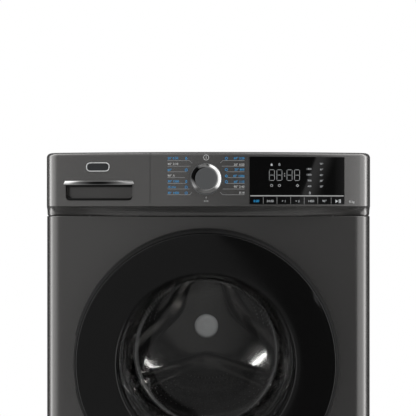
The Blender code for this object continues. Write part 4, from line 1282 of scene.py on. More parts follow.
    def hatch(self) -> None:
        """The drain filter's hatch with its finger notch."""
        low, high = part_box("filter_hatch")
        outline = rectangle((low.x, high.x), (low.z, high.z), 0.0035)
        bm = slab(outline, low.y, high.y)
        notch = circle(((low.x + high.x) / 2, high.z + 0.004), 0.014, 48)
        bm = carved(bm, slab(notch, low.y - 0.01, high.y + 0.01))
        bm = eased(bm, 0.0007, 3, 50)
        piece("hatch_flap", bm, BODY_PAINT, BODY_OF["filter_hatch"], ["filter_hatch"], weighted=True)

    def rear_fittings(self) -> None:
        """The threaded water inlet, the mains gland and the transport bolt caps."""
        low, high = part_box("inlet_valve")
        tip, x, z = high.y, -0.200, 0.790
        start = D.wall - self.sheet - 0.0003
        thread = [(0.0085, tip), (0.0118, tip), (0.0122, tip - 0.0012)]
        for i in range(5):
            y = tip - 0.0020 - 0.0024 * i
            thread += [(0.0132, y), (0.0132, y - 0.0006), (0.0120, y - 0.0012), (0.0120, y - 0.0018)]
        thread += [(0.0120, start), (0.0085, start), (0.0085, tip - 0.012)]
        bm = turned(thread, (x, z), Axis.Y, 48)
        housing = block((low.x, high.x), (low.y, start), (low.z, high.z), 0.002)
        housing = carved(housing, slab(circle((x, z), 0.0085, 32), start - 0.006, start + 0.01))
        piece("inlet_valve_body", merged([bm, housing]), WHITE_PLASTIC, self.body, ["inlet_valve"])
        disc = ((0.0, 0.013), (0.0083, 0.013), (0.0083, 0.0145), (0.0, 0.0145))
        strainer = turned([(r, tip - depth) for r, depth in disc], (x, z), Axis.Y, 32, closed=False)
        piece("inlet_strainer", strainer, GALVANISED, self.body)
        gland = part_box("cable_gland")
        gx, gz = (gland[0].x + gland[1].x) / 2, (gland[0].z + gland[1].z) / 2
        ring = [(0.0045, gland[0].y, 0), (0.0080, gland[0].y, 0.001), (0.0080, D.wall + 0.0003, 0)]
        ring += [(0.0125, D.wall + 0.0003, 0.0005), (0.0118, gland[1].y, 0.0015), (0.0045, gland[1].y, 0.001)]
        bm = turned(soften(ring, True, 3), (gx, gz), Axis.Y, 48)
        piece("mains_gland", bm, BLACK_PLASTIC, self.body, ["cable_gland"])
        caps = []
        for sx, cz in ((-0.235, 0.300), (0.235, 0.300), (-0.235, 0.640), (0.245, 0.640)):
            seat, crown = D.wall + 0.0003, D.wall + 0.0035
            edge = soften([(0.010, crown, 0.001), (0.013, seat, 0)], True, 3)
            rim = [(0.0, crown), *edge, (0.0, seat)]
            caps.append(turned(rim, (sx, cz), Axis.Y, 40, closed=False))
        piece("transport_bolt_caps", merged(caps), GREY_PLASTIC, self.body)


def smooth_step(value: float, low: float, high: float) -> float:
    """Rises smoothly from zero at low to one at high."""
    t = min(max((value - low) / (high - low), 0.0), 1.0)
    return t * t * (3 - 2 * t)


def fade(value: float, low: float, high: float, slope: float) -> float:
    """One between two limits, falling smoothly to zero over a slope outside them."""
    return smooth_step(value, low - slope, low) * (1 - smooth_step(value, high, high + slope))


def fade_points(low: float, high: float, slope: float) -> list[float]:
    """Positions that a mesh needs to show fade()."""
    steps = [i / 4 for i in range(5)]
    return [low - slope + slope * s for s in steps] + [high + slope * s for s in steps]


def foot_nodes() -> list[str]:
    """Names of the four feet."""
    return [f"foot_{end}_{side}" for end in ("front", "rear") for side in ("left", "right")]


def middle_of(node: str) -> Vector:
    """Middle of a CAD node's box."""
    low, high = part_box(node)
    return (low + high) / 2


def hatch_opening() -> tuple[Point2, Point2]:
    """Limits of the hatch's opening in x and z."""
    low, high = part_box("filter_hatch")
    gap = 0.0006
    return (low.x - gap, high.x + gap), (low.z - gap, high.z + gap)


# ---- control panel


class Pictogram(Enum):
    """Small generic signs used on the panel."""

    RING = "ring"
    DROP = "drop"
    DIAMOND = "diamond"
    LOCK = "lock"
    PLAY = "play"


@dataclass
class ControlPanel:
    """Bowed fascia with the knob, the printed programme ring, the display and its keys."""

    body: str = "cabinet"
    ink: float = 0.00008
    blue: list[Mesh] = field(default_factory=list)
    pale: list[Mesh] = field(default_factory=list)
    faint: list[Mesh] = field(default_factory=list)

    def build(self) -> None:
        """Builds every piece of the panel."""
        self.fascia()
        self.window()
        self.digits()
        self.keys()
        self.knob()
        self.programmes()

    def fascia(self) -> None:
        """The moulded panel, hollow behind, with its openings."""
        bm = BOW.solid()
        hollow = BOW.solid(BOW.shell, 0.02)
        hollow = carved(hollow, block((-1, BOW.split + 0.0006 + BOW.shell), (-1, 1), (0, 1)))
        bm = carved(bm, hollow)
        bm = carved(bm, block((-1, BOW.split + 0.0006), (-1, 1), (0, 1)))
        window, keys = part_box("display_window"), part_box("key_1")
        gap = 0.0003
        frame_x = (window[0].x - gap, window[1].x + gap)
        frame_z = (keys[0].z - gap, window[1].z + gap)
        bm = carved(bm, BOW.plate(rectangle(frame_x, frame_z, 0.0012, 3), -0.01, 0.01))
        knob = middle_of("knob_ring")
        y = BOW.face(knob.x)
        bm = carved(bm, slab(circle((knob.x, knob.z), 0.0070, 40), y - 0.01, y + 0.01))
        piece("fascia_shell", bm, PANEL_PAINT, self.body, ["control_panel"], smooth=40, weighted=True)

    def window(self) -> None:
        """The smoked window over the display."""
        low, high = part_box("display_window")
        outline = rectangle((low.x, high.x), (low.z, high.z), 0.0010, 3)
        bm = BOW.plate(outline, -0.0005, BOW.shell)
        piece("display_glass", bm, DISPLAY_BLACK, self.body, ["display_window"])

    def bar(self, x: Point2, z: Point2, slope: float = 0.0) -> Mesh:
        """A flat printed bar between limits, its top moved sideways by a slope."""
        bm = bmesh.new()
        corners = ((x[0], z[0]), (x[1], z[0]), (x[1] + slope, z[1]), (x[0] + slope, z[1]))
        bm.faces.new([bm.verts.new((u, 0, w)) for u, w in corners])
        return bm

    def line(self, path: Sequence[Point2], width: float) -> Mesh:
        """A printed line along a path in x and z."""
        bm = bmesh.new()
        half = width / 2
        for start, end in zip(path, path[1:]):
            a, b = Vector(start), Vector(end)
            side = (b - a).normalized().orthogonal() * half
            along = (b - a).normalized() * half * 0.4
            corners = (a - along + side, a - along - side, b + along - side, b + along + side)
            bm.faces.new([bm.verts.new((c.x, 0, c.y)) for c in corners])
        return bm

    def sign(self, kind: Pictogram, centre: Point2, size: float) -> list[Mesh]:
        """A small sign.

        Args:
            kind: Which sign.
            centre: Its middle in x and z.
            size: Its height.

        Returns:
            Its flat parts.
        """
        x, z = centre
        half, width = size / 2, size * 0.13
        if kind is Pictogram.RING:
            ring = circle(centre, half - width / 2, 20)
            return [self.line([*ring, ring[0]], width)]
        if kind is Pictogram.DROP:
            path = circle((x, z - half * 0.25), half * 0.6, 14, math.pi * 0.75)[:11]
            return [self.line([(x, z + half), *path, (x, z + half)], width)]
        if kind is Pictogram.DIAMOND:
            ring = circle(centre, half * 0.95, 4)
            return [self.line([*ring, ring[0]], width * 1.2)]
        if kind is Pictogram.LOCK:
            arch = [
                (x + half * 0.45 * math.cos(a), z + half * 0.2 + half * 0.6 * math.sin(a))
                for a in (0, 0.8, 1.57, 2.34, 3.14)
            ]
            body = self.bar((x - half * 0.7, x + half * 0.7), (z - half, z + half * 0.15))
            return [self.line(arch, width * 0.8), body]
        if kind is Pictogram.PLAY:
            bm = bmesh.new()
            triangle = ((x - half * 1.3, z - half), (x + half * 0.1, z), (x - half * 1.3, z + half))
            bm.faces.new([bm.verts.new((u, 0, w)) for u, w in triangle])
            height = (z - half, z + half)
            bars = [self.bar((x + half * k, x + half * (k + 0.42)), height) for k in (0.55, 1.25)]
            return [bm, *bars]
        return [self.bar((x - half, x + half), (z - width, z + width))]

    def mark(self, text: str, x: float, z: float, size: float, anchor: str) -> Mesh:
        """Numerals at a place on the panel."""
        bm = lettered(text, size, anchor)
        bmesh.ops.translate(bm, vec=(x, 0, z), verts=bm.verts)
        return bm

    def lay(self, name: str, parts: list[Mesh], finish: Finish, proud: float) -> None:
        """Prints flat parts on the bowed face as one piece."""
        piece(name, BOW.printed(merged(parts), proud + self.ink), finish, self.body)

    def digits(self) -> None:
        """The lit display: four outlined digits, signs and two columns of values."""
        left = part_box("display_window")[0].x
        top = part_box("display_window")[1].z
        lit: list[Mesh] = []
        for start in (0.0351, 0.0486, 0.0668, 0.0803):
            lit += self.digit(left + start, top - 0.0420, 0.0092, 0.0190)
        for z in (top - 0.0298, top - 0.0341):
            lit += [self.bar((left + 0.0618, left + 0.0632), (z - 0.0007, z + 0.0007))]
        spots = (
            (Pictogram.LOCK, 0.0392, 0.0135), (Pictogram.DROP, 0.0532, 0.0135),
            (Pictogram.RING, 0.0392, 0.0510), (Pictogram.RING, 0.0532, 0.0510),
            (Pictogram.DIAMOND, 0.0858, 0.0510), (Pictogram.DROP, 0.1080, 0.0642),
        )
        for kind, dx, dz in spots:
            lit += self.sign(kind, (left + dx, top - dz), 0.0047)
        self.lay("display_segments", lit, LIT_WHITE, 0.0005)
        column = []
        for i, text in enumerate(("1400", "1200", "800", "400")):
            column.append(self.mark(text, left + 0.1110, top - 0.0215 - 0.0103 * i, 0.0046, "RIGHT"))
        for i, text in enumerate(("90°", "60°", "40°", "30°", "20°")):
            column.append(self.mark(text, left + 0.1262, top - 0.0120 - 0.0102 * i, 0.0046, "LEFT"))
        self.lay("display_values", column, LIT_WHITE, 0.0005)

    def digit(self, x: float, z: float, width: float, height: float) -> list[Mesh]:
        """One outlined figure of eight made of seven segments.

        Args:
            x: Left edge.
            z: Lower edge.
            width: Width of the digit.
            height: Height of the digit.

        Returns:
            Its flat parts.
        """
        stroke, gap = 0.00052, 0.0005
        mid = z + height / 2
        parts = []
        for level in (z, mid, z + height):
            parts.append(self.line([(x + 2 * gap, level), (x + width - 2 * gap, level)], stroke))
        for side in (x, x + width):
            parts.append(self.line([(side, z + 2 * gap), (side, mid - gap)], stroke))
            parts.append(self.line([(side, mid + gap), (side, z + height - 2 * gap)], stroke))
        return parts

    def keys(self) -> None:
        """Seven short-stroke keys with their printed signs and dividing lines."""
        texts = ("0:30", "24:00", "+ 1", "+ 2", "1400", "90°")
        for index in range(7):
            node = f"key_{index + 1}"
            low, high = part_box(node)
            body = BODY_OF[node]
            outline = rectangle((low.x, high.x), (low.z, high.z), 0.0006, 2)
            bm = BOW.plate(outline, -0.0004, 0.0055, 4)
            piece(f"{node}_cap", bm, KEY_BLACK, body, [node])
            middle = ((low.x + high.x) / 2, (low.z + high.z) / 2 - 0.0008)
            if index < 6:
                parts = [self.mark(texts[index], middle[0], middle[1], 0.0058, "CENTER")]
            else:
                parts = self.sign(Pictogram.PLAY, middle, 0.0066)
            ink = LIT_BLUE if index == 0 else LIT_WHITE
            marks = BOW.printed(merged(parts), 0.0004 + self.ink)
            piece(f"{node}_sign", marks, ink, body)
        first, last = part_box("key_1"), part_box("key_7")
        x = (first[0].x + 0.0012, last[1].x - 0.0012)
        z = first[1].z + 0.0016
        lines = [self.bar(x, (z, z + 0.0018))]
        self.lay("display_rule", lines, LINE_GREY_PAINTED_GLOW, 0.0005)
        ribs = []
        for index in range(1, 7):
            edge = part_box(f"key_{index}")[1].x + 0.00025
            rib = rectangle((edge - 0.00022, edge + 0.00022), (first[0].z + 0.0006, first[1].z), 0.0001, 1)
            ribs.append(BOW.plate(rib, -0.0006, 0.0030, 1))
        piece("key_dividers", merged(ribs), LINE_GREY_PAINTED_GLOW, self.body)

    def knob(self) -> None:
        """The programme knob: a bright bevelled ring round a spun face."""
        low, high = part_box("knob_ring")
        centre = ((low.x + high.x) / 2, (low.z + high.z) / 2)
        radius, front = (high.x - low.x) / 2, low.y
        face_radius = 0.0194
        skirt = BOW.face(0) - 0.0008
        profile = [
            (face_radius + 0.0003, front + 0.0020, 0), (face_radius + 0.0003, front + 0.0004, 0.0003),
            (face_radius + 0.0016, front, 0.0006), (radius - 0.0006, front + 0.0032, 0.0004),
            (radius, front + 0.0048, 0.0006), (radius, skirt, 0.0003), (0.0060, skirt, 0),
            (0.0060, high.y, 0.0004),
        ]
        line = [(0.0, front + 0.0020), *soften(profile, False, 6), (0.0, high.y)]
        bm = turned(line, centre, Axis.Y, 160, closed=False)
        # The ring's plating carries a painted dark reflection on its upper left.
        plating = ChromeWithPaintedReflection(
            "knob_chrome_painted_reflection", "chrome", "#F4F4F3", 0.08,
            centre=(centre[0] - 0.0190, 0.0, centre[1] + 0.0090), half=(0.0130, 0.0190), dark="#0E0E0E",
        )
        piece("knob_bright_ring", bm, plating, BODY_OF["knob_ring"], ["knob_ring"])
        lip = [(face_radius - 0.0002, front + 0.0001, 0.0004), (face_radius, front + 0.0017, 0)]
        groove = [
            (0.0, front + 0.0004), (0.0150, front + 0.0004), (0.0162, front + 0.0003),
            (0.0170, front + 0.0001), *soften(lip, True, 4), (0.0, front + 0.0017),
        ]
        spun = Metal(
            "spun_anodised_aluminium", "knob_face_grey", "#A2A4A6", 0.36, Grain.SPUN,
            (centre[0], 0.0, centre[1]),
        )
        bm = turned(groove, centre, Axis.Y, 160, closed=False)
        piece("knob_spun_face", bm, spun, BODY_OF["knob_face"], ["knob_face"])
        inside, outside = 0.0075, radius + 0.0014
        back, face = skirt + 0.0012, skirt + 0.0004
        seat = turned([(inside, back), (outside, back), (outside, face), (inside, face)], centre, Axis.Y, 96)
        for vert in seat.verts:
            vert.co.y += BOW.face(vert.co.x) - BOW.face(0) - 0.0010
        piece("knob_shadow_seat", seat, PALE_RING, self.body)

    def programmes(self) -> None:
        """The printed programme ring on both sides of the knob, the power sign and a few other marks."""
        knob = middle_of("knob_ring")
        left_texts = ("20° 0:30", "40° 2:10", "60°", "90° A", "30° 1200", "15 min", "40° 1400")
        right_texts = ("60° 3:20", "30° 0:50", "20° 800", "40° 1000", "60° 1:15", "90° 2:40", "0:14")
        left_blue, right_blue = (0, 2, 4, 5, 6), (0, 2, 3, 4)
        rows_left = (0.8380, 0.8279, 0.8174, 0.8071, 0.7970, 0.7869, 0.7765)
        rows_right = (0.8380, 0.8266, 0.8180, 0.8065, 0.7963, 0.7875, 0.7768)
        rules = (0.8340, 0.8240, 0.8142, 0.8038, 0.7935, 0.7836, 0.7734)
        x_left, x_right = -0.0727, 0.0640
        size, mark = 0.0056, 0.0048
        for i, text in enumerate(left_texts):
            ink = self.blue if i in left_blue else self.pale
            ink.append(self.mark(text, x_left, rows_left[i], size, "LEFT"))
            if i in left_blue:
                kind = Pictogram.RING if i % 4 else Pictogram.DROP
                self.blue += self.sign(kind, (-0.0395, rows_left[i]), mark)
        for i, text in enumerate(right_texts):
            ink = self.blue if i in right_blue else self.pale
            ink.append(self.mark(text, x_right, rows_right[i], size, "RIGHT"))
            if i in right_blue:
                kind = Pictogram.DIAMOND if i % 2 else Pictogram.RING
                self.blue += self.sign(kind, (0.0318, rows_right[i]), mark)
        ends = (0.0255, 0.0285, 0.0365, 0.0385, 0.0365, 0.0300, 0.0255)
        for i, z in enumerate(rules):
            tip = ends[i] - 0.0005
            dive = 0.0045 if i == 0 else (-0.0045 if i == 6 else 0.0)
            path = [(x_left, z), (knob.x - tip - abs(dive), z)]
            mirror = [(x_right, z), (knob.x + tip + abs(dive), z)]
            if dive:
                path.append((knob.x - tip, z - dive))
                mirror.append((knob.x + tip, z - dive))
            self.faint += [self.line(path, 0.00055), self.line(mirror, 0.00055)]
        power = (knob.x, 0.8395)
        ring = circle(power, 0.0046, 28)
        self.pale += [self.line([*ring, ring[0]], 0.0008)]
        x, z = power
        self.pale += [self.bar((x - 0.0004, x + 0.0004), (z - 0.0024, z + 0.0026))]
        self.pale += self.sign(Pictogram.DROP, (knob.x, 0.7685), 0.0030)
        self.pale.append(self.mark("0:15", knob.x, 0.7620, 0.0046, "CENTER"))
        self.pale.append(self.mark("8 kg", 0.2535, 0.7610, 0.0058, "LEFT"))
        self.lay("programme_marks_blue", self.blue, BLUE_INK_PAINTED_GLOW, 0.0)
        self.lay("programme_marks_pale", self.pale, PALE_INK_PAINTED_GLOW, 0.0)
        self.lay("programme_rules", self.faint, RULE_INK_PAINTED_GLOW, 0.0)


# Hairlines between the programmes, printed in a thin grey that only just stands off the panel, with a faint
# glow that is painted light.
RULE_INK_PAINTED_GLOW = Print("grey_hairline_ink_painted_glow", "graphite_fascia", "#A2A3A4", 0.45, lit_and_painted_glow=0.16)
# Moulded seat ring under the knob, a light satin grey that draws a thin line round it.
PALE_RING = Metal("satin_seat_ring", "chrome", "#B4B6B8", 0.30)


# ---- detergent drawer


@dataclass
class DetergentDrawer:
    """Drawer front with its finger pocket and bright bar, the blank badge and the tray."""

    pocket_depth: float = 0.034
    # The two heights below set the painted shade bands at the top and the bottom of the pocket.
    shade_band_top: float = 0.0102
    shade_band_bottom: float = 0.0042
    body: str = "drawer"

    def build(self) -> None:
        """Builds every piece of the drawer."""
        self.front()
        self.handle()
        self.badge()
        self.tray()

    def pocket(self) -> tuple[Point2, Point2]:
        """Limits of the finger pocket in x and z."""
        low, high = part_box("drawer_handle")
        gap = 0.0003
        return (low.x - gap, high.x + gap), (0.7631, high.z + gap)

    def front(self) -> None:
        """The moulded front with the pocket let into it."""
        bm = BOW.solid()
        bm = carved(bm, block((BOW.split, 1), (-1, 1), (0, 1)))
        x, z = self.pocket()
        shell = BOW.shell
        y = BOW.face(x[1]) + self.pocket_depth
        hollow = BOW.solid(shell, 0.02)
        hollow = carved(hollow, block((BOW.split - shell, 1), (-1, 1), (0, 1)))
        room = block((x[0] - shell, x[1] + shell), (-1, y + shell), (z[0] - shell, z[1] + shell))
        hollow = carved(hollow, room)
        bm = carved(bm, hollow)
        cut = 0.0085
        mouth = soften([(x[1], z[1], 0), (x[0], z[1], 0), (x[0], z[0], cut), (x[1], z[0], cut)], True, 8)
        well = slab(mouth, -1.0, y)
        well = eased(well, 0.0035, 3, 50, lambda p: p.y > -0.5 and p.z > z[0] + 0.004)
        well = eased(well, 0.0075, 5, 50, lambda p: p.y > y - 0.001 and p.z < z[0] + 0.002)
        bm = carved(bm, well)
        piece("drawer_face_shell", bm, PANEL_PAINT, self.body, ["drawer_front"], smooth=40, weighted=True)
        # The black sleeve in the pocket is painted shade: its strip under the bar and its step over the sill
        # show as dark bands where shade falls.
        thin = 0.0005
        throat = soften(
            [
                (x[1] - 2 * thin, z[1] - self.shade_band_top, 0.0006), (x[0] + 2 * thin, z[1] - self.shade_band_top, 0.0006),
                (x[0] + 2 * thin, z[0] + self.shade_band_bottom, cut), (x[1] - 2 * thin, z[0] + self.shade_band_bottom, cut),
            ],
            True, 8,
        )
        shade_sleeve = carved(slab(mouth, BOW.face(x[0]) + 0.0015, y - 0.0048), slab(throat, -1.0, 1.0))
        piece("pocket_painted_shade_sleeve", shade_sleeve, POCKET_PAINTED_SHADE, self.body, smooth=50)
        rim = 0.0012
        right, left, foot = x[1] + rim, x[0] - rim, z[0] - rim
        edge = [(right, z[1], 0), (left, z[1], 0), (left, foot, cut), (right, foot, cut)]
        lip = BOW.plate(soften(edge, True, 8), -0.0003, 0.0004, 20)
        lip = carved(lip, slab(mouth, -1.0, 1.0))
        piece("pocket_lip", lip, PANEL_PAINT, self.body, smooth=50)

    def handle(self) -> None:
        """The bright bar over the pocket, bowed forward, with raked ends."""
        low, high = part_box("drawer_handle")
        over = 0.0036
        outline = soften(
            [
                (high.x + over - 0.0022, high.z + 0.0003, 0.0003),
                (low.x - over + 0.0022, high.z + 0.0003, 0.0003),
                (low.x - over, low.z + 0.0012, 0.0003), (high.x + over, low.z + 0.0012, 0.0003),
            ],
            True, 2,
        )
        bm = slab(outline, 0.0, 1.0)
        cells = 40
        sliced(bm, (low.x - over + (high.x - low.x + 2 * over) * i / cells for i in range(1, cells)))
        middle, half = (low.x + high.x) / 2, (high.x - low.x) / 2 + over
        for vert in bm.verts:
            u = (vert.co.x - middle) / half
            crown = 0.0030 * (1 - u * u)
            lift = (vert.co.z - low.z) / (high.z - low.z)
            lean = 0.0040 * smooth_step(abs(u), 0.25, 0.85)
            front = BOW.face(vert.co.x) - 0.0010 - crown - lean * (1 - lift)
            rear = BOW.face(vert.co.x) - 0.0001
            vert.co.y = front if vert.co.y < 0.5 else rear
        bmesh.ops.recalc_face_normals(bm, faces=bm.faces)
        bm = eased(bm, 0.0003, 2, 50)
        stem = rectangle((low.x + 0.0002, high.x - 0.0002), (low.z + 0.0004, high.z), 0.001, 2)
        root = BOW.plate(stem, 0.0002, 0.0080, 20)
        # The bar's plating carries a painted dark reflection across its middle, where the bow would mirror
        # the dark front of the studio.
        plating = ChromeWithPaintedReflection(
            "bar_chrome_painted_reflection", "chrome", "#F6F6F5", 0.10,
            centre=(middle, 0.0, (low.z + high.z) / 2), half=(0.028, 0.0022),
        )
        piece("drawer_bright_bar", merged([bm, root]), plating, self.body, ["drawer_handle"], smooth=40)

    def badge(self) -> None:
        """The blank badge: a dark capsule in a bright ring, with no lettering."""
        low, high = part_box("nameplate")
        radius = (high.z - low.z) / 2
        capsule = rectangle((low.x, high.x), (low.z, high.z), radius, 10)
        ring = 0.0014
        inner = rectangle((low.x + ring, high.x - ring), (low.z + ring, high.z - ring), radius - ring, 10)
        rim = carved(BOW.plate(capsule, -0.0012, -0.0001, 12), BOW.plate(inner, -0.01, -0.00005, 12))
        piece("badge_ring", eased(rim, 0.0003, 2, 60), PLATE_METAL, self.body, ["nameplate"])
        field_plate = BOW.plate(inner, -0.0005, -0.0001, 12)
        piece("badge_field", field_plate, BADGE_GREY, self.body)

    def tray(self) -> None:
        """The drawer's tray with three compartments, and the softener's blue cover with its siphon cap."""
        low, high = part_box("drawer_tray")
        wall = 0.002
        bm = block((low.x, high.x), (low.y, high.y), (low.z, high.z))
        bm = eased(bm, 0.006, 4, 50, lambda p: p.z < high.z - 0.002)
        span = high.x - low.x - wall
        for start, end in ((0.0, 0.40), (0.40, 0.62), (0.62, 1.0)):
            x = (low.x + wall + start * span, low.x + end * span)
            well = block(x, (low.y + wall, high.y - wall), (low.z + wall, 1.0))
            bm = carved(bm, eased(well, 0.0045, 4, 50, lambda p: p.z < 0.9))
        piece("tray_body", bm, GREY_PLASTIC, self.body, ["drawer_tray"], weighted=True)
        x = (low.x + wall + 0.40 * span + 0.0006, low.x + 0.62 * span - 0.0006)
        cover = block(x, (low.y + 0.070, high.y - 0.004), (high.z - 0.0100, high.z - 0.0050), 0.0012, 3)
        middle = ((x[0] + x[1]) / 2, low.y + 0.130)
        crown, foot = high.z - 0.001, high.z - 0.0055
        side = soften([(0.009, crown, 0.002), (0.0105, foot, 0)], True, 3)
        cap = turned([(0.0, crown), *side, (0.0, foot)], middle, Axis.Z, 40, closed=False)
        piece("softener_cover", merged([cover, cap]), BLUE_PLASTIC, self.body)


# Blank field of the badge, satin grey paint a little darker than the panel.
BADGE_GREY = Paint("badge_field_grey", "nameplate_grey", "#4A4C4E", 0.30)
# Black lining of the finger pocket: painted shade, a dark sleeve that stands in for the shade inside the
# pocket.
POCKET_PAINTED_SHADE = Moulded("pocket_painted_shade_black", "black_plastic", "#0F0F0F", 0.40)
# The softener cover is moulded in a muted blue.
BLUE_PLASTIC = Moulded("blue_moulded_pp", "grey_plastic", "#3E6F93", 0.42)


# ---- door


@dataclass
class Door:
    """Round door: dark rim, piano-black ring, smoked glass bowl, clamping ring and hinge."""

    radius: float = 0.2373
    rim: float = 0.0080
    window: float = 0.1580
    body: str = "door"
    steps: int = 180

    def build(self) -> None:
        """Builds every piece of the door."""
        self.outer_rim()
        self.face_ring()
        self.bowl()
        self.inner_ring()
        self.hardware()

    def hinge_notch(self) -> Mesh:
        """Room in the back of the door for the hinge."""
        pin = middle_of("hinge_bracket")
        hinge_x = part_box("door_hinge_arm")[0].x + 0.0068
        hinge_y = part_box("door_hinge_arm")[0].y + 0.0068
        half = (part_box("hinge_bracket")[1].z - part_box("hinge_bracket")[0].z) / 2 + 0.003
        x, y = (hinge_x - 0.05, hinge_x + 0.030), (hinge_y - 0.0085, D.front + 0.01)
        return block(x, y, (pin.z - half, pin.z + half))

    def outer_rim(self) -> None:
        """The rim with its bevel and the finger recess on the right."""
        b, inner = D.back, self.radius - self.rim
        profile = [
            (self.radius, b(-0.0205), 0.0020), (self.radius - 0.0012, b(-0.0250), 0.0010),
            (inner + 0.0025, b(-0.0325), 0.0010), (inner, b(-0.0335), 0.0004), (inner, b(-0.0280), 0),
            (inner - 0.0200, b(-0.0280), 0), (inner - 0.0200, b(-0.0250), 0),
            (inner - 0.0020, b(-0.0250), 0), (inner - 0.0020, b(-0.0065), 0),
            (self.radius - 0.0055, b(-0.0065), 0.0010), (self.radius, b(-0.0120), 0.0020),
        ]
        bm = turned(soften(profile, True, 5), D.door, Axis.Y, self.steps)
        bm = carved(bm, self.hinge_notch())
        x = (D.door_x + self.radius - 0.016, D.door_x + self.radius + 0.05)
        recess = block(x, (b(-0.019), b(0.01)), (D.door_z - 0.050, D.door_z + 0.050))
        recess = eased(recess, 0.006, 4, 50, lambda p: abs(p.z - D.door_z) > 0.045)
        bm = carved(bm, recess)
        piece("door_rim_moulding", bm, RIM_PAINT, self.body, ["door_rim"])

    def face_ring(self) -> None:
        """The convex piano-black ring between rim and window."""
        b = D.back
        outer = self.radius - self.rim - 0.0003
        crown = [
            (outer, b(-0.0322), 0.0006), (outer - 0.0006, b(-0.0370), 0.0014),
            (outer - 0.0140, b(-0.0380), 0.0120), (0.2000, b(-0.0382), 0.0120),
            (0.1780, b(-0.0380), 0.0100), (self.window + 0.0008, b(-0.0374), 0.0016),
            (self.window - 0.0008, b(-0.0340), 0.0012), (self.window - 0.0010, b(-0.0118), 0),
            (self.window + 0.0020, b(-0.0118), 0), (self.window + 0.0020, b(-0.0283), 0),
            (outer, b(-0.0283), 0),
        ]
        bm = turned(soften(crown, True, 7), D.door, Axis.Y, self.steps)
        piece("door_black_ring", bm, PIANO_BLACK, self.body, ["door_face"], smooth=60)

    def bowl(self) -> None:
        """The thick pressed glass bowl."""
        b = D.back
        mouth, end_r, end, t = 0.1540, 0.1450, b(0.085), 0.0050
        inside = [
            (0.0, end), (end_r - 0.030, end - 0.0004, 0.012), (end_r - 0.008, end - 0.006, 0.008),
            (end_r, end - 0.020, 0.010), (mouth - 0.0035, b(0.030), 0.006), (mouth, b(-0.0115), 0.002),
            (0.1760, b(-0.0115), 0.0008), (0.1760, b(-0.0065), 0.0008), (mouth + t, b(-0.0065), 0.003),
            (mouth + t - 0.0030, b(0.030), 0.006), (end_r + t + 0.0005, end - 0.016, 0.010),
            (end_r - 0.004, end + t - 0.006, 0.009), (end_r - 0.030, end + t, 0.012), (0.0, end + t),
        ]
        points: list[Corner] = [(p[0], p[1], p[2] if len(p) > 2 else 0.0) for p in inside]
        bm = turned(soften(points, False, 6), D.door, Axis.Y, self.steps, closed=False)
        piece("door_glass_bowl", bm, GLASS, self.body, ["door_glass"], smooth=60)

    def inner_ring(self) -> None:
        """The clamping ring on the door's back with its screws."""
        b = D.back
        outer = self.radius - self.rim - 0.0023
        profile = [
            (0.1765, b(-0.0230), 0), (0.1765, b(-0.0062), 0), (0.1680, b(-0.0062), 0.0004),
            (0.1680, b(-0.0045), 0.0006), (0.1850, b(-0.0040), 0.004), (outer, b(-0.0060), 0.0008),
            (outer, b(-0.0082), 0), (0.1850, b(-0.0065), 0.002), (0.1790, b(-0.0230), 0),
        ]
        bm = turned(soften(profile, True, 4), D.door, Axis.Y, self.steps)
        bm = carved(bm, self.hinge_notch())
        piece("door_clamp_ring", bm, BLACK_PLASTIC, self.body, ["door_inner_ring"])
        screws = []
        for i in range(8):
            angle = math.radians(22.5 + 45 * i)
            x, z = 0.1985 * math.cos(angle), 0.1985 * math.sin(angle)
            head = Vector((D.door_x + x, b(-0.0048), D.door_z + z))
            screws.append(screw(head, Vector((0, 1, 0)), 0.0036, 0.0019))
        piece("door_clamp_screws", merged(screws), BEARING_STEEL, self.body)

    def hardware(self) -> None:
        """Dresses the hinge, the hook and the lock."""
        dress_node("door_hinge_arm", CAST_ALUMINIUM)
        dress_node("hinge_bracket", CAST_ALUMINIUM)
        dress_node("door_latch_hook", GALVANISED)
        dress_node("door_lock", BLACK_PLASTIC)


# ---- tub mouth and drum


@dataclass
class Bellows:
    """The rubber bellows between the porthole and the tub."""

    body: str = "cabinet"

    def build(self) -> None:
        """Builds the bellows, with its lip and its folds."""
        b, t = D.back, 0.0022
        outer = 0.1797
        line = [
            (outer, b(-0.0015), 0.0006), (outer, b(0.030), 0.004), (0.2010, b(0.043), 0.005),
            (0.2010, b(0.053), 0.004), (0.1805, b(0.062), 0.004), (0.1805, b(0.084), 0.0004),
            (0.1765, b(0.084), 0.0004), (0.1765, b(0.059), 0.004), (0.1966, b(0.0505), 0.003),
            (0.1966, b(0.0455), 0.003), (outer - t, b(0.033), 0.004), (outer - t, b(0.016), 0.001),
            (outer - t - 0.0020, b(0.0145), 0.001), (outer - t, b(0.0130), 0.001),
            (outer - t, b(0.004), 0.002), (0.1690, b(0.001), 0.0012), (0.1690, b(-0.0025), 0.0012),
        ]
        bm = turned(soften(line, True, 4), D.door, Axis.Y, 160)
        piece("rubber_bellows", bm, GASKET, self.body, ["door_gasket"], smooth=50)


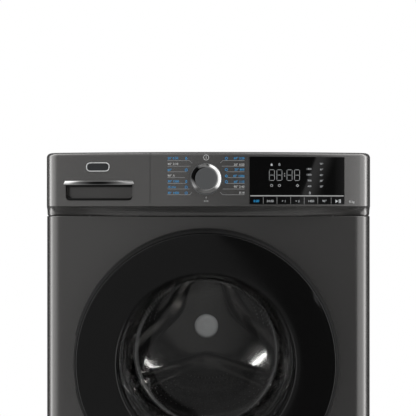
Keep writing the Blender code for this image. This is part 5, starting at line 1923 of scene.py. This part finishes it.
@dataclass
class Drum:
    """Perforated stainless drum with a pressed star on its back, lifters and hub cap."""

    body: str = "drum"
    radius: float = 0.2380
    sheet: float = 0.0015
    mouth: float = 0.1720
    hole: float = 0.0034

    STAR_EDGE: ClassVar[float] = 0.063
    STAR_POWER: ClassVar[float] = 2.1
    STAR_SLOPE: ClassVar[float] = 0.042
    STAR_DEPTH: ClassVar[float] = 0.0115

    def build(self) -> None:
        """Builds every piece of the drum."""
        low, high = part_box("drum_shell")
        self.front_y, self.back_y = low.y, high.y
        self.wall()
        self.back_plate()
        self.lifters()
        self.hub()

    def punched(self, bm: Mesh, faces: list[bmesh.types.BMFace]) -> None:
        """Punches a round hole through the middle of each of these faces."""
        groups: dict[int, list[bmesh.types.BMFace]] = {}
        for face in faces:
            size = min(edge.calc_length() for edge in face.edges)
            groups.setdefault(round(size / 0.0002), []).append(face)
        for key, group in groups.items():
            margin = (key * 0.0002 - self.hole) / 2
            bmesh.ops.inset_individual(bm, faces=group, thickness=margin, use_even_offset=True)
            for face in group:
                centre = face.calc_center_median()
                for vert in face.verts:
                    out = vert.co - centre
                    vert.co = centre + out.normalized() * self.hole / 2
            bmesh.ops.delete(bm, geom=group, context="FACES_ONLY")

    def wall(self) -> None:
        """The perforated cylinder with its rolled mouth."""
        front, end = self.front_y, self.back_y
        depth_steps = 26
        start = front + 0.030
        profile = [
            (self.mouth + 0.006, front + 0.006, 0.001), (self.mouth + 0.0005, front + 0.0055, 0.0015),
            (self.mouth, front + 0.0008, 0.0010), (self.mouth + 0.0050, front + 0.0004, 0.002),
            (self.radius - 0.012, front + 0.0004, 0.010), (self.radius - 0.0002, front + 0.012, 0.010),
        ]
        line = soften(profile, False, 6)
        outer = self.radius - 0.0002
        line += [(outer, start + (end - 0.012 - start) * i / depth_steps) for i in range(depth_steps + 1)]
        line += [(outer, end - 0.0002)]
        bm = revolved(line, D.door, Axis.Y, 144)
        bmesh.ops.remove_doubles(bm, verts=bm.verts, dist=1e-6)
        facing(bm, Vector((D.door_x, (front + end) / 2, D.door_z)))
        chosen = []
        pitch = (end - 0.012 - start) / depth_steps
        for face in bm.faces:
            centre = face.calc_center_median()
            row = (centre.y - start) / pitch
            reach = math.hypot(centre.x - D.door_x, centre.z - D.door_z)
            if not 0 < row < depth_steps or abs(reach - self.radius) > 0.002:
                continue
            angle = math.degrees(math.atan2(centre.z - D.door_z, centre.x - D.door_x))
            column = int((angle % 360) / 2.5)
            near_lifter = min(abs((angle - a + 180) % 360 - 180) for a in (90, 210, 330)) < 9
            if not near_lifter and int(row) % 2 == 0 and (column + int(row) // 2) % 2 == 0:
                chosen.append(face)
        self.punched(bm, chosen)
        bm = thickened(bm, self.sheet)
        piece("drum_wall", bm, DRUM_STEEL, self.body, ["drum_shell"], smooth=40)

    def emboss(self, x: float, z: float) -> float:
        """How far the back plate is pressed towards the rear at a point.

        Args:
            x: Distance to the right of the axis.
            z: Height above the axis.

        Returns:
            Depth of the pressing in metres.
        """
        radius, angle = math.hypot(x, z), math.degrees(math.atan2(z, x))
        offset = min(((angle - valley + 180) % 360 - 180 for valley in (30, 150, 270)), key=abs)
        across = max(math.cos(math.radians(offset)), 0.3)
        reach = radius * across**self.STAR_POWER - self.STAR_EDGE
        rise = min(max(reach / self.STAR_SLOPE, 0.0), 1.0)
        pressed = 0.6 * rise + 0.4 * smooth_step(rise, 0.0, 1.0)
        return self.STAR_DEPTH * pressed * (1 - smooth_step(radius, 0.2130, 0.2290))

    def back_plate(self) -> None:
        """The pressed back with its star and rows of holes in the three valleys."""
        inner, plane = self.radius - self.sheet - 0.0004, self.back_y - 0.0015
        rings = 58
        bm = revolved([(inner * i / rings, plane) for i in range(rings + 1)], D.door, Axis.Y, 180)
        bmesh.ops.remove_doubles(bm, verts=bm.verts, dist=1e-6)
        for vert in bm.verts:
            vert.co.y += self.emboss(vert.co.x - D.door_x, vert.co.z - D.door_z)
        facing(bm, Vector((D.door_x, plane + 1, D.door_z)))
        chosen = []
        for face in bm.faces:
            centre = face.calc_center_median()
            x, z = centre.x - D.door_x, centre.z - D.door_z
            radius = math.hypot(x, z)
            ring = int(radius / inner * rings)
            column = int((math.degrees(math.atan2(z, x)) % 360) / 2)
            flat = self.emboss(x, z) > self.STAR_DEPTH * 0.97
            if flat and 0.112 < radius < 0.205 and ring % 3 == 0 and (column + ring // 3) % 2 == 0:
                chosen.append(face)
        self.punched(bm, chosen)
        bm = thickened(bm, 0.0010)
        piece("drum_back_pressing", bm, DRUM_STEEL, self.body, smooth=50)

    def lifters(self) -> None:
        """Three paddles with rounded crests."""
        inside = self.radius - self.sheet - 0.0012
        base = math.sqrt(inside**2 - 0.030**2) - 0.0006
        start, end = self.front_y + 0.022, self.back_y - 0.020
        sections = (
            (start, 0.62), (start + 0.012, 0.86), (start + 0.032, 1.0),
            (end - 0.030, 1.0), (end - 0.010, 0.90), (end, 0.74),
        )
        flank = [(0.030, 0.0, 0), (0.016, 0.020, 0.012), (0.0095, 0.048, 0.010)]
        left = [(-u, h, r) for u, h, r in flank]
        crest = soften([*left, (0.0, 0.0525, 0.006), *flank[::-1]], False, 5)
        for index in range(3):
            node = f"drum_lifter_{index + 1}"
            middle = middle_of(node)
            angle = math.atan2(middle.z - D.door_z, middle.x - D.door_x)
            out = Vector((math.cos(angle), 0, math.sin(angle)))
            side = Vector((-math.sin(angle), 0, math.cos(angle)))
            rings = []
            for y, scale in sections:
                ring = []
                for u, h in crest:
                    point = out * (base - h * scale) + side * (u * (0.6 + 0.4 * scale))
                    ring.append(Vector((D.door_x + point.x, y, D.door_z + point.z)))
                rings.append(ring)
            bm = skinned(rings)
            piece(f"{node}_paddle", bm, LIFTER_STEEL, self.body, [node], smooth=50)

    def hub(self) -> None:
        """The domed hub cap with a shallow dish and its rim."""
        low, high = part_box("drum_hub_cap")
        radius = (high.x - low.x) / 2
        profile = [
            (0.0, low.y + 0.0012),
            *soften(
                [
                    (0.010, low.y + 0.0010, 0.004), (radius - 0.0075, low.y, 0.003),
                    (radius - 0.0030, low.y + 0.0016, 0.003), (radius, low.y + 0.0060, 0.002),
                    (radius, high.y, 0),
                ],
                True, 5,
            ),
            (0.0, high.y),
        ]
        bm = turned(profile, D.door, Axis.Y, 96, closed=False)
        piece("hub_cap_dome", bm, HUB_GREY, self.body, ["drum_hub_cap"], smooth=50)


# Deep-drawn and polished stainless steel of the drum, with draw lines round its axis.
DRUM_STEEL = Metal(
    "drawn_stainless", "stainless", "#BCBBBA", 0.11, Grain.SPUN, (D.door_x, 0.0, D.door_z)
)
LIFTER_STEEL = Metal("pressed_stainless_paddle", "stainless", "#B4B6B8", 0.22, Grain.BRUSHED)
# Moulded cap over the shaft, a light satin grey.
HUB_GREY = Moulded("hub_cap_grey_pp", "grey_plastic", "#E2E4E5", 0.34)


# ---- inner works


@dataclass
class Works:
    """Inner parts that keep their CAD shapes and get their finishes."""

    finishes: dict[str, Finish] = field(
        default_factory=lambda: {
            "control_board": BOARD, "dispenser_housing": WHITE_PLASTIC, "tub_front": TUB_PLASTIC,
            "tub_rear": TUB_PLASTIC, "bearing_front": BEARING_STEEL, "bearing_rear": BEARING_STEEL,
            "drum_spider": CAST_ALUMINIUM, "drum_pulley": CAST_ALUMINIUM, "motor_pulley": BEARING_STEEL,
            "drive_belt": BLACK_RUBBER, "motor": GALVANISED, "counterweight": CONCRETE,
            "heater": BEARING_STEEL, "spring_left": GALVANISED, "spring_right": GALVANISED,
            "damper_left": GALVANISED, "damper_right": GALVANISED, "drain_pump": WHITE_PLASTIC,
        }
    )

    def build(self) -> None:
        """Dresses the carried-over nodes and builds the filter cap."""
        for node, finish in self.finishes.items():
            dress_node(node, finish)
        self.filter_cap()

    def filter_cap(self) -> None:
        """The screw-in filter cap with its ribbed rim and grip bar."""
        low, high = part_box("filter_cap")
        x, z = (low.x + high.x) / 2, (low.z + high.z) / 2
        radius = (high.x - low.x) / 2
        face = D.back(0.024)
        rib = [
            (radius - 0.006, face + 0.0015, 0.002), (radius - 0.0035, face, 0.001),
            (radius - 0.001, face, 0.0008), (radius, face + 0.0090, 0.0006),
        ]
        profile = [
            (0.0, face + 0.0015), *soften(rib, True, 3), (0.0262, face + 0.0097), (0.0255, high.y),
            (0.0, high.y),
        ]
        bm = turned(profile, (x, z), Axis.Y, 96, closed=False)
        grip = block((x - 0.024, x + 0.024), (low.y, face + 0.003), (z - 0.004, z + 0.004), 0.0016, 3)
        body = BODY_OF["filter_cap"]
        piece("filter_screw_cap", merged([bm, grip]), GREY_PLASTIC, body, ["filter_cap"])


# ---- studio


@dataclass(frozen=True)
class Softbox:
    """A soft patch of light on the studio's surround.

    Attributes:
        azimuth: Limits in degrees round the machine, zero in front and positive to the right.
        elevation: Limits in degrees above the horizon.
        strength: Brightness added, or taken away when negative.
        soft: Width in degrees of its faded edge.
        lean: Degrees that it leans to the right for each degree upwards.
        tail: Width of the fade on its right, when it is another.
    """

    azimuth: Point2
    elevation: Point2
    strength: float
    soft: float = 6.0
    lean: float = 0.0
    tail: float = 0.0


@dataclass
class Studio:
    """Pale floor, soft surround and the camera.

    Attributes:
        distance: How far the camera stands from the front panel.
        focal: Focal length in millimetres on a 36 mm sensor.
        horizon: Brightness of the surround by azimuth in degrees.
        peak: Largest brightness of the horizon.
        boxes: Patches added to the horizon.
        below: Elevation in degrees under which the surround is even.
        low_glow: Its brightness there.
    """

    distance: float = 1.35
    focal: float = 64.74
    peak: float = 4.0
    horizon: tuple[Point2, ...] = (
        (-180, 0.04), (-135, 0.04), (-118, 0.05), (-104, 0.30), (-97, 1.90), (-90, 3.60),
        (-83, 2.30), (-75, 1.40), (-64, 1.10), (-50, 0.74), (-40, 0.42), (-31, 0.24), (-8, 0.23),
        (1, 0.22), (3.2, 0.05), (26, 0.06), (29, 0.62), (44, 0.92), (60, 0.96), (70, 1.40),
        (78, 2.60), (84.5, 4.00), (90, 2.40), (97, 0.40), (108, 0.05), (135, 0.04), (180, 0.04),
    )
    boxes: tuple[Softbox, ...] = (
        Softbox((18.0, 18.4), (-3.0, 7.0), 0.62, 0.35, 1.0, 3.8),
        Softbox((-200.0, 200.0), (48.0, 60.0), 0.22, 7.0),
    )
    below: float = -26.0
    low_glow: float = 0.12

    def build(self) -> None:
        """Sets up the whole studio."""
        self.surround()
        self.overhead()
        self.inside()
        self.floor()
        self.camera()
        bpy.context.scene.view_settings.view_transform = "Standard"

    def inside(self) -> None:
        """Three small lamps in the drum's mouth that draw out the pressed steel and the hub."""
        for name, place, watts in (
            ("drum_lamp_right", (D.door_x + 0.150, D.back(0.125), D.door_z - 0.125), 0.034),
            ("drum_lamp_left", (D.door_x - 0.150, D.back(0.125), D.door_z - 0.150), 0.016),
            ("drum_lamp_top", (D.door_x, D.back(0.110), D.door_z + 0.150), 0.42),
        ):
            lamp = bpy.data.lights.new(name, "AREA")
            lamp.shape = "RECTANGLE"
            lamp.size, lamp.size_y = (0.030, 0.012) if watts > 0.2 else (0.075, 0.005)
            lamp.energy = watts
            item = bpy.data.objects.new(name, lamp)
            item.location = place
            aim = Vector((D.door_x, D.back(0.39), D.door_z - 0.04)) - Vector(place)
            roll = Quaternion((0, 0, 1), math.radians(45) * ((place[0] > D.door_x) - (place[0] < D.door_x)))
            item.rotation_euler = (aim.to_track_quat("-Z", "Y") @ roll).to_euler()
            item.visible_camera = False
            item.visible_glossy = name != "drum_lamp_top"
            bpy.context.scene.collection.objects.link(item)

    def overhead(self) -> None:
        """A wide lamp over the machine that lights the floor and leaves no mirror image."""
        lamp = bpy.data.lights.new("overhead", "AREA")
        lamp.energy = 48.0
        lamp.size = 2.6
        item = placed("overhead", lamp)
        item.location = (0.0, 0.0, 2.6)
        item.visible_glossy = False
        item.visible_camera = False

    def band(self, tree: Tree, value: Socket, limits: Point2, soft: float, tail: float = 0.0) -> Socket:
        """A factor that is one between two limits and fades outside them.

        Args:
            tree: Node tree.
            value: Value in degrees.
            limits: Where the factor is one.
            soft: Width of the fade.
            tail: Width of the fade past the upper limit, when it is another.

        Returns:
            The factor.
        """
        edges = []
        for start, end in ((limits[0] - soft, limits[0]), (limits[1] + (tail or soft), limits[1])):
            edges.append(
                add(
                    tree, "ShaderNodeMapRange",
                    {"Value": value, "From Min": start, "From Max": end, "To Min": 0.0, "To Max": 1.0},
                    interpolation_type="SMOOTHSTEP",
                ).outputs["Result"]
            )
        return add(tree, "ShaderNodeMath", {0: edges[0], 1: edges[1]}, operation="MULTIPLY").outputs[0]

    def surround(self) -> None:
        """The surround: white behind the machine, soft boxes for its light and reflections."""
        world = bpy.data.worlds.new("studio")
        world.use_nodes = True
        bpy.context.scene.world = world
        tree = world.node_tree
        tree.nodes.clear()
        ray = add(tree, "ShaderNodeTexCoord").outputs["Generated"]
        axes = add(tree, "ShaderNodeSeparateXYZ", {0: ray})
        ahead = add(tree, "ShaderNodeMath", {0: axes.outputs["Y"], 1: -1.0}, operation="MULTIPLY")
        turn = add(tree, "ShaderNodeMath", {0: axes.outputs["X"], 1: ahead.outputs[0]}, operation="ARCTAN2")
        rise = add(tree, "ShaderNodeMath", {0: axes.outputs["Z"]}, operation="ARCSINE")
        azimuth, elevation = (
            add(tree, "ShaderNodeMath", {0: angle.outputs[0]}, operation="DEGREES").outputs[0]
            for angle in (turn, rise)
        )
        place = add(
            tree, "ShaderNodeMapRange", {"Value": azimuth, "From Min": -180.0, "From Max": 180.0}
        )
        stops = [(az / 360 + 0.5, (v / self.peak,) * 3 + (1.0,)) for az, v in self.horizon]
        ring = ramp(tree, place.outputs["Result"], stops)
        total = add(tree, "ShaderNodeMath", {0: ring, 1: self.peak}, operation="MULTIPLY").outputs[0]
        above = self.band(tree, elevation, (self.below, 200.0), 16.0)
        total = add(
            tree, "ShaderNodeMapRange", {"Value": above, "To Min": self.low_glow, "To Max": total}
        ).outputs["Result"]
        for box in self.boxes:
            leant = add(
                tree, "ShaderNodeMath", {0: elevation, 1: -box.lean, 2: azimuth}, operation="MULTIPLY_ADD"
            ).outputs[0]
            across = self.band(tree, leant, box.azimuth, box.soft, box.tail)
            up = self.band(tree, elevation, box.elevation, box.soft)
            both = add(tree, "ShaderNodeMath", {0: across, 1: up}, operation="MULTIPLY")
            values = {0: both.outputs[0], 1: box.strength, 2: total}
            total = add(tree, "ShaderNodeMath", values, operation="MULTIPLY_ADD").outputs[0]
        total = add(tree, "ShaderNodeMath", {0: total, 1: 0.0}, operation="MAXIMUM").outputs[0]
        lit = add(tree, "ShaderNodeBackground", {"Color": (1.0, 1.0, 1.0, 1.0), "Strength": total})
        white = add(tree, "ShaderNodeBackground", {"Color": (1.0, 1.0, 1.0, 1.0), "Strength": 1.0})
        path = add(tree, "ShaderNodeLightPath")
        mixed = add(
            tree, "ShaderNodeMixShader",
            {0: path.outputs["Is Camera Ray"], 1: lit.outputs[0], 2: white.outputs[0]},
        )
        add(tree, "ShaderNodeOutputWorld", {"Surface": mixed.outputs[0]})

    def floor(self) -> None:
        """The round pale floor."""
        bm = slab(circle((0.0, 0.0), 1.05, 96), -0.004, -0.0002, Axis.Z)
        item = meshed("studio_floor", bm)
        item.data.materials.append(Moulded("pale_studio_floor", "white_plastic", "#F4F4F3", 0.6).material())
        item.visible_glossy = False

    def camera(self) -> None:
        """The camera, level and square on to the front."""
        data = bpy.data.cameras.new("camera")
        data.lens = self.focal
        data.sensor_width = 36.0
        data.clip_start = 0.01
        item = placed("camera", data)
        item.location = (-0.0008, D.front - self.distance, 0.7498)
        item.rotation_euler = (math.pi / 2, 0.0, 0.0)
        bpy.context.scene.camera = item


def main() -> None:
    """Builds the studio and every sub-assembly in order."""
    logging.basicConfig(level=logging.INFO, format="%(name)s %(message)s", stream=sys.stdout)
    random.seed(7)
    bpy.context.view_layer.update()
    Studio().build()
    for assembly in (Cabinet(), ControlPanel(), DetergentDrawer(), Door(), Bellows(), Drum(), Works()):
        assembly.build()
        log.info("built %s", type(assembly).__name__)
    bpy.context.view_layer.update()


if __name__ == "__main__":
    main()
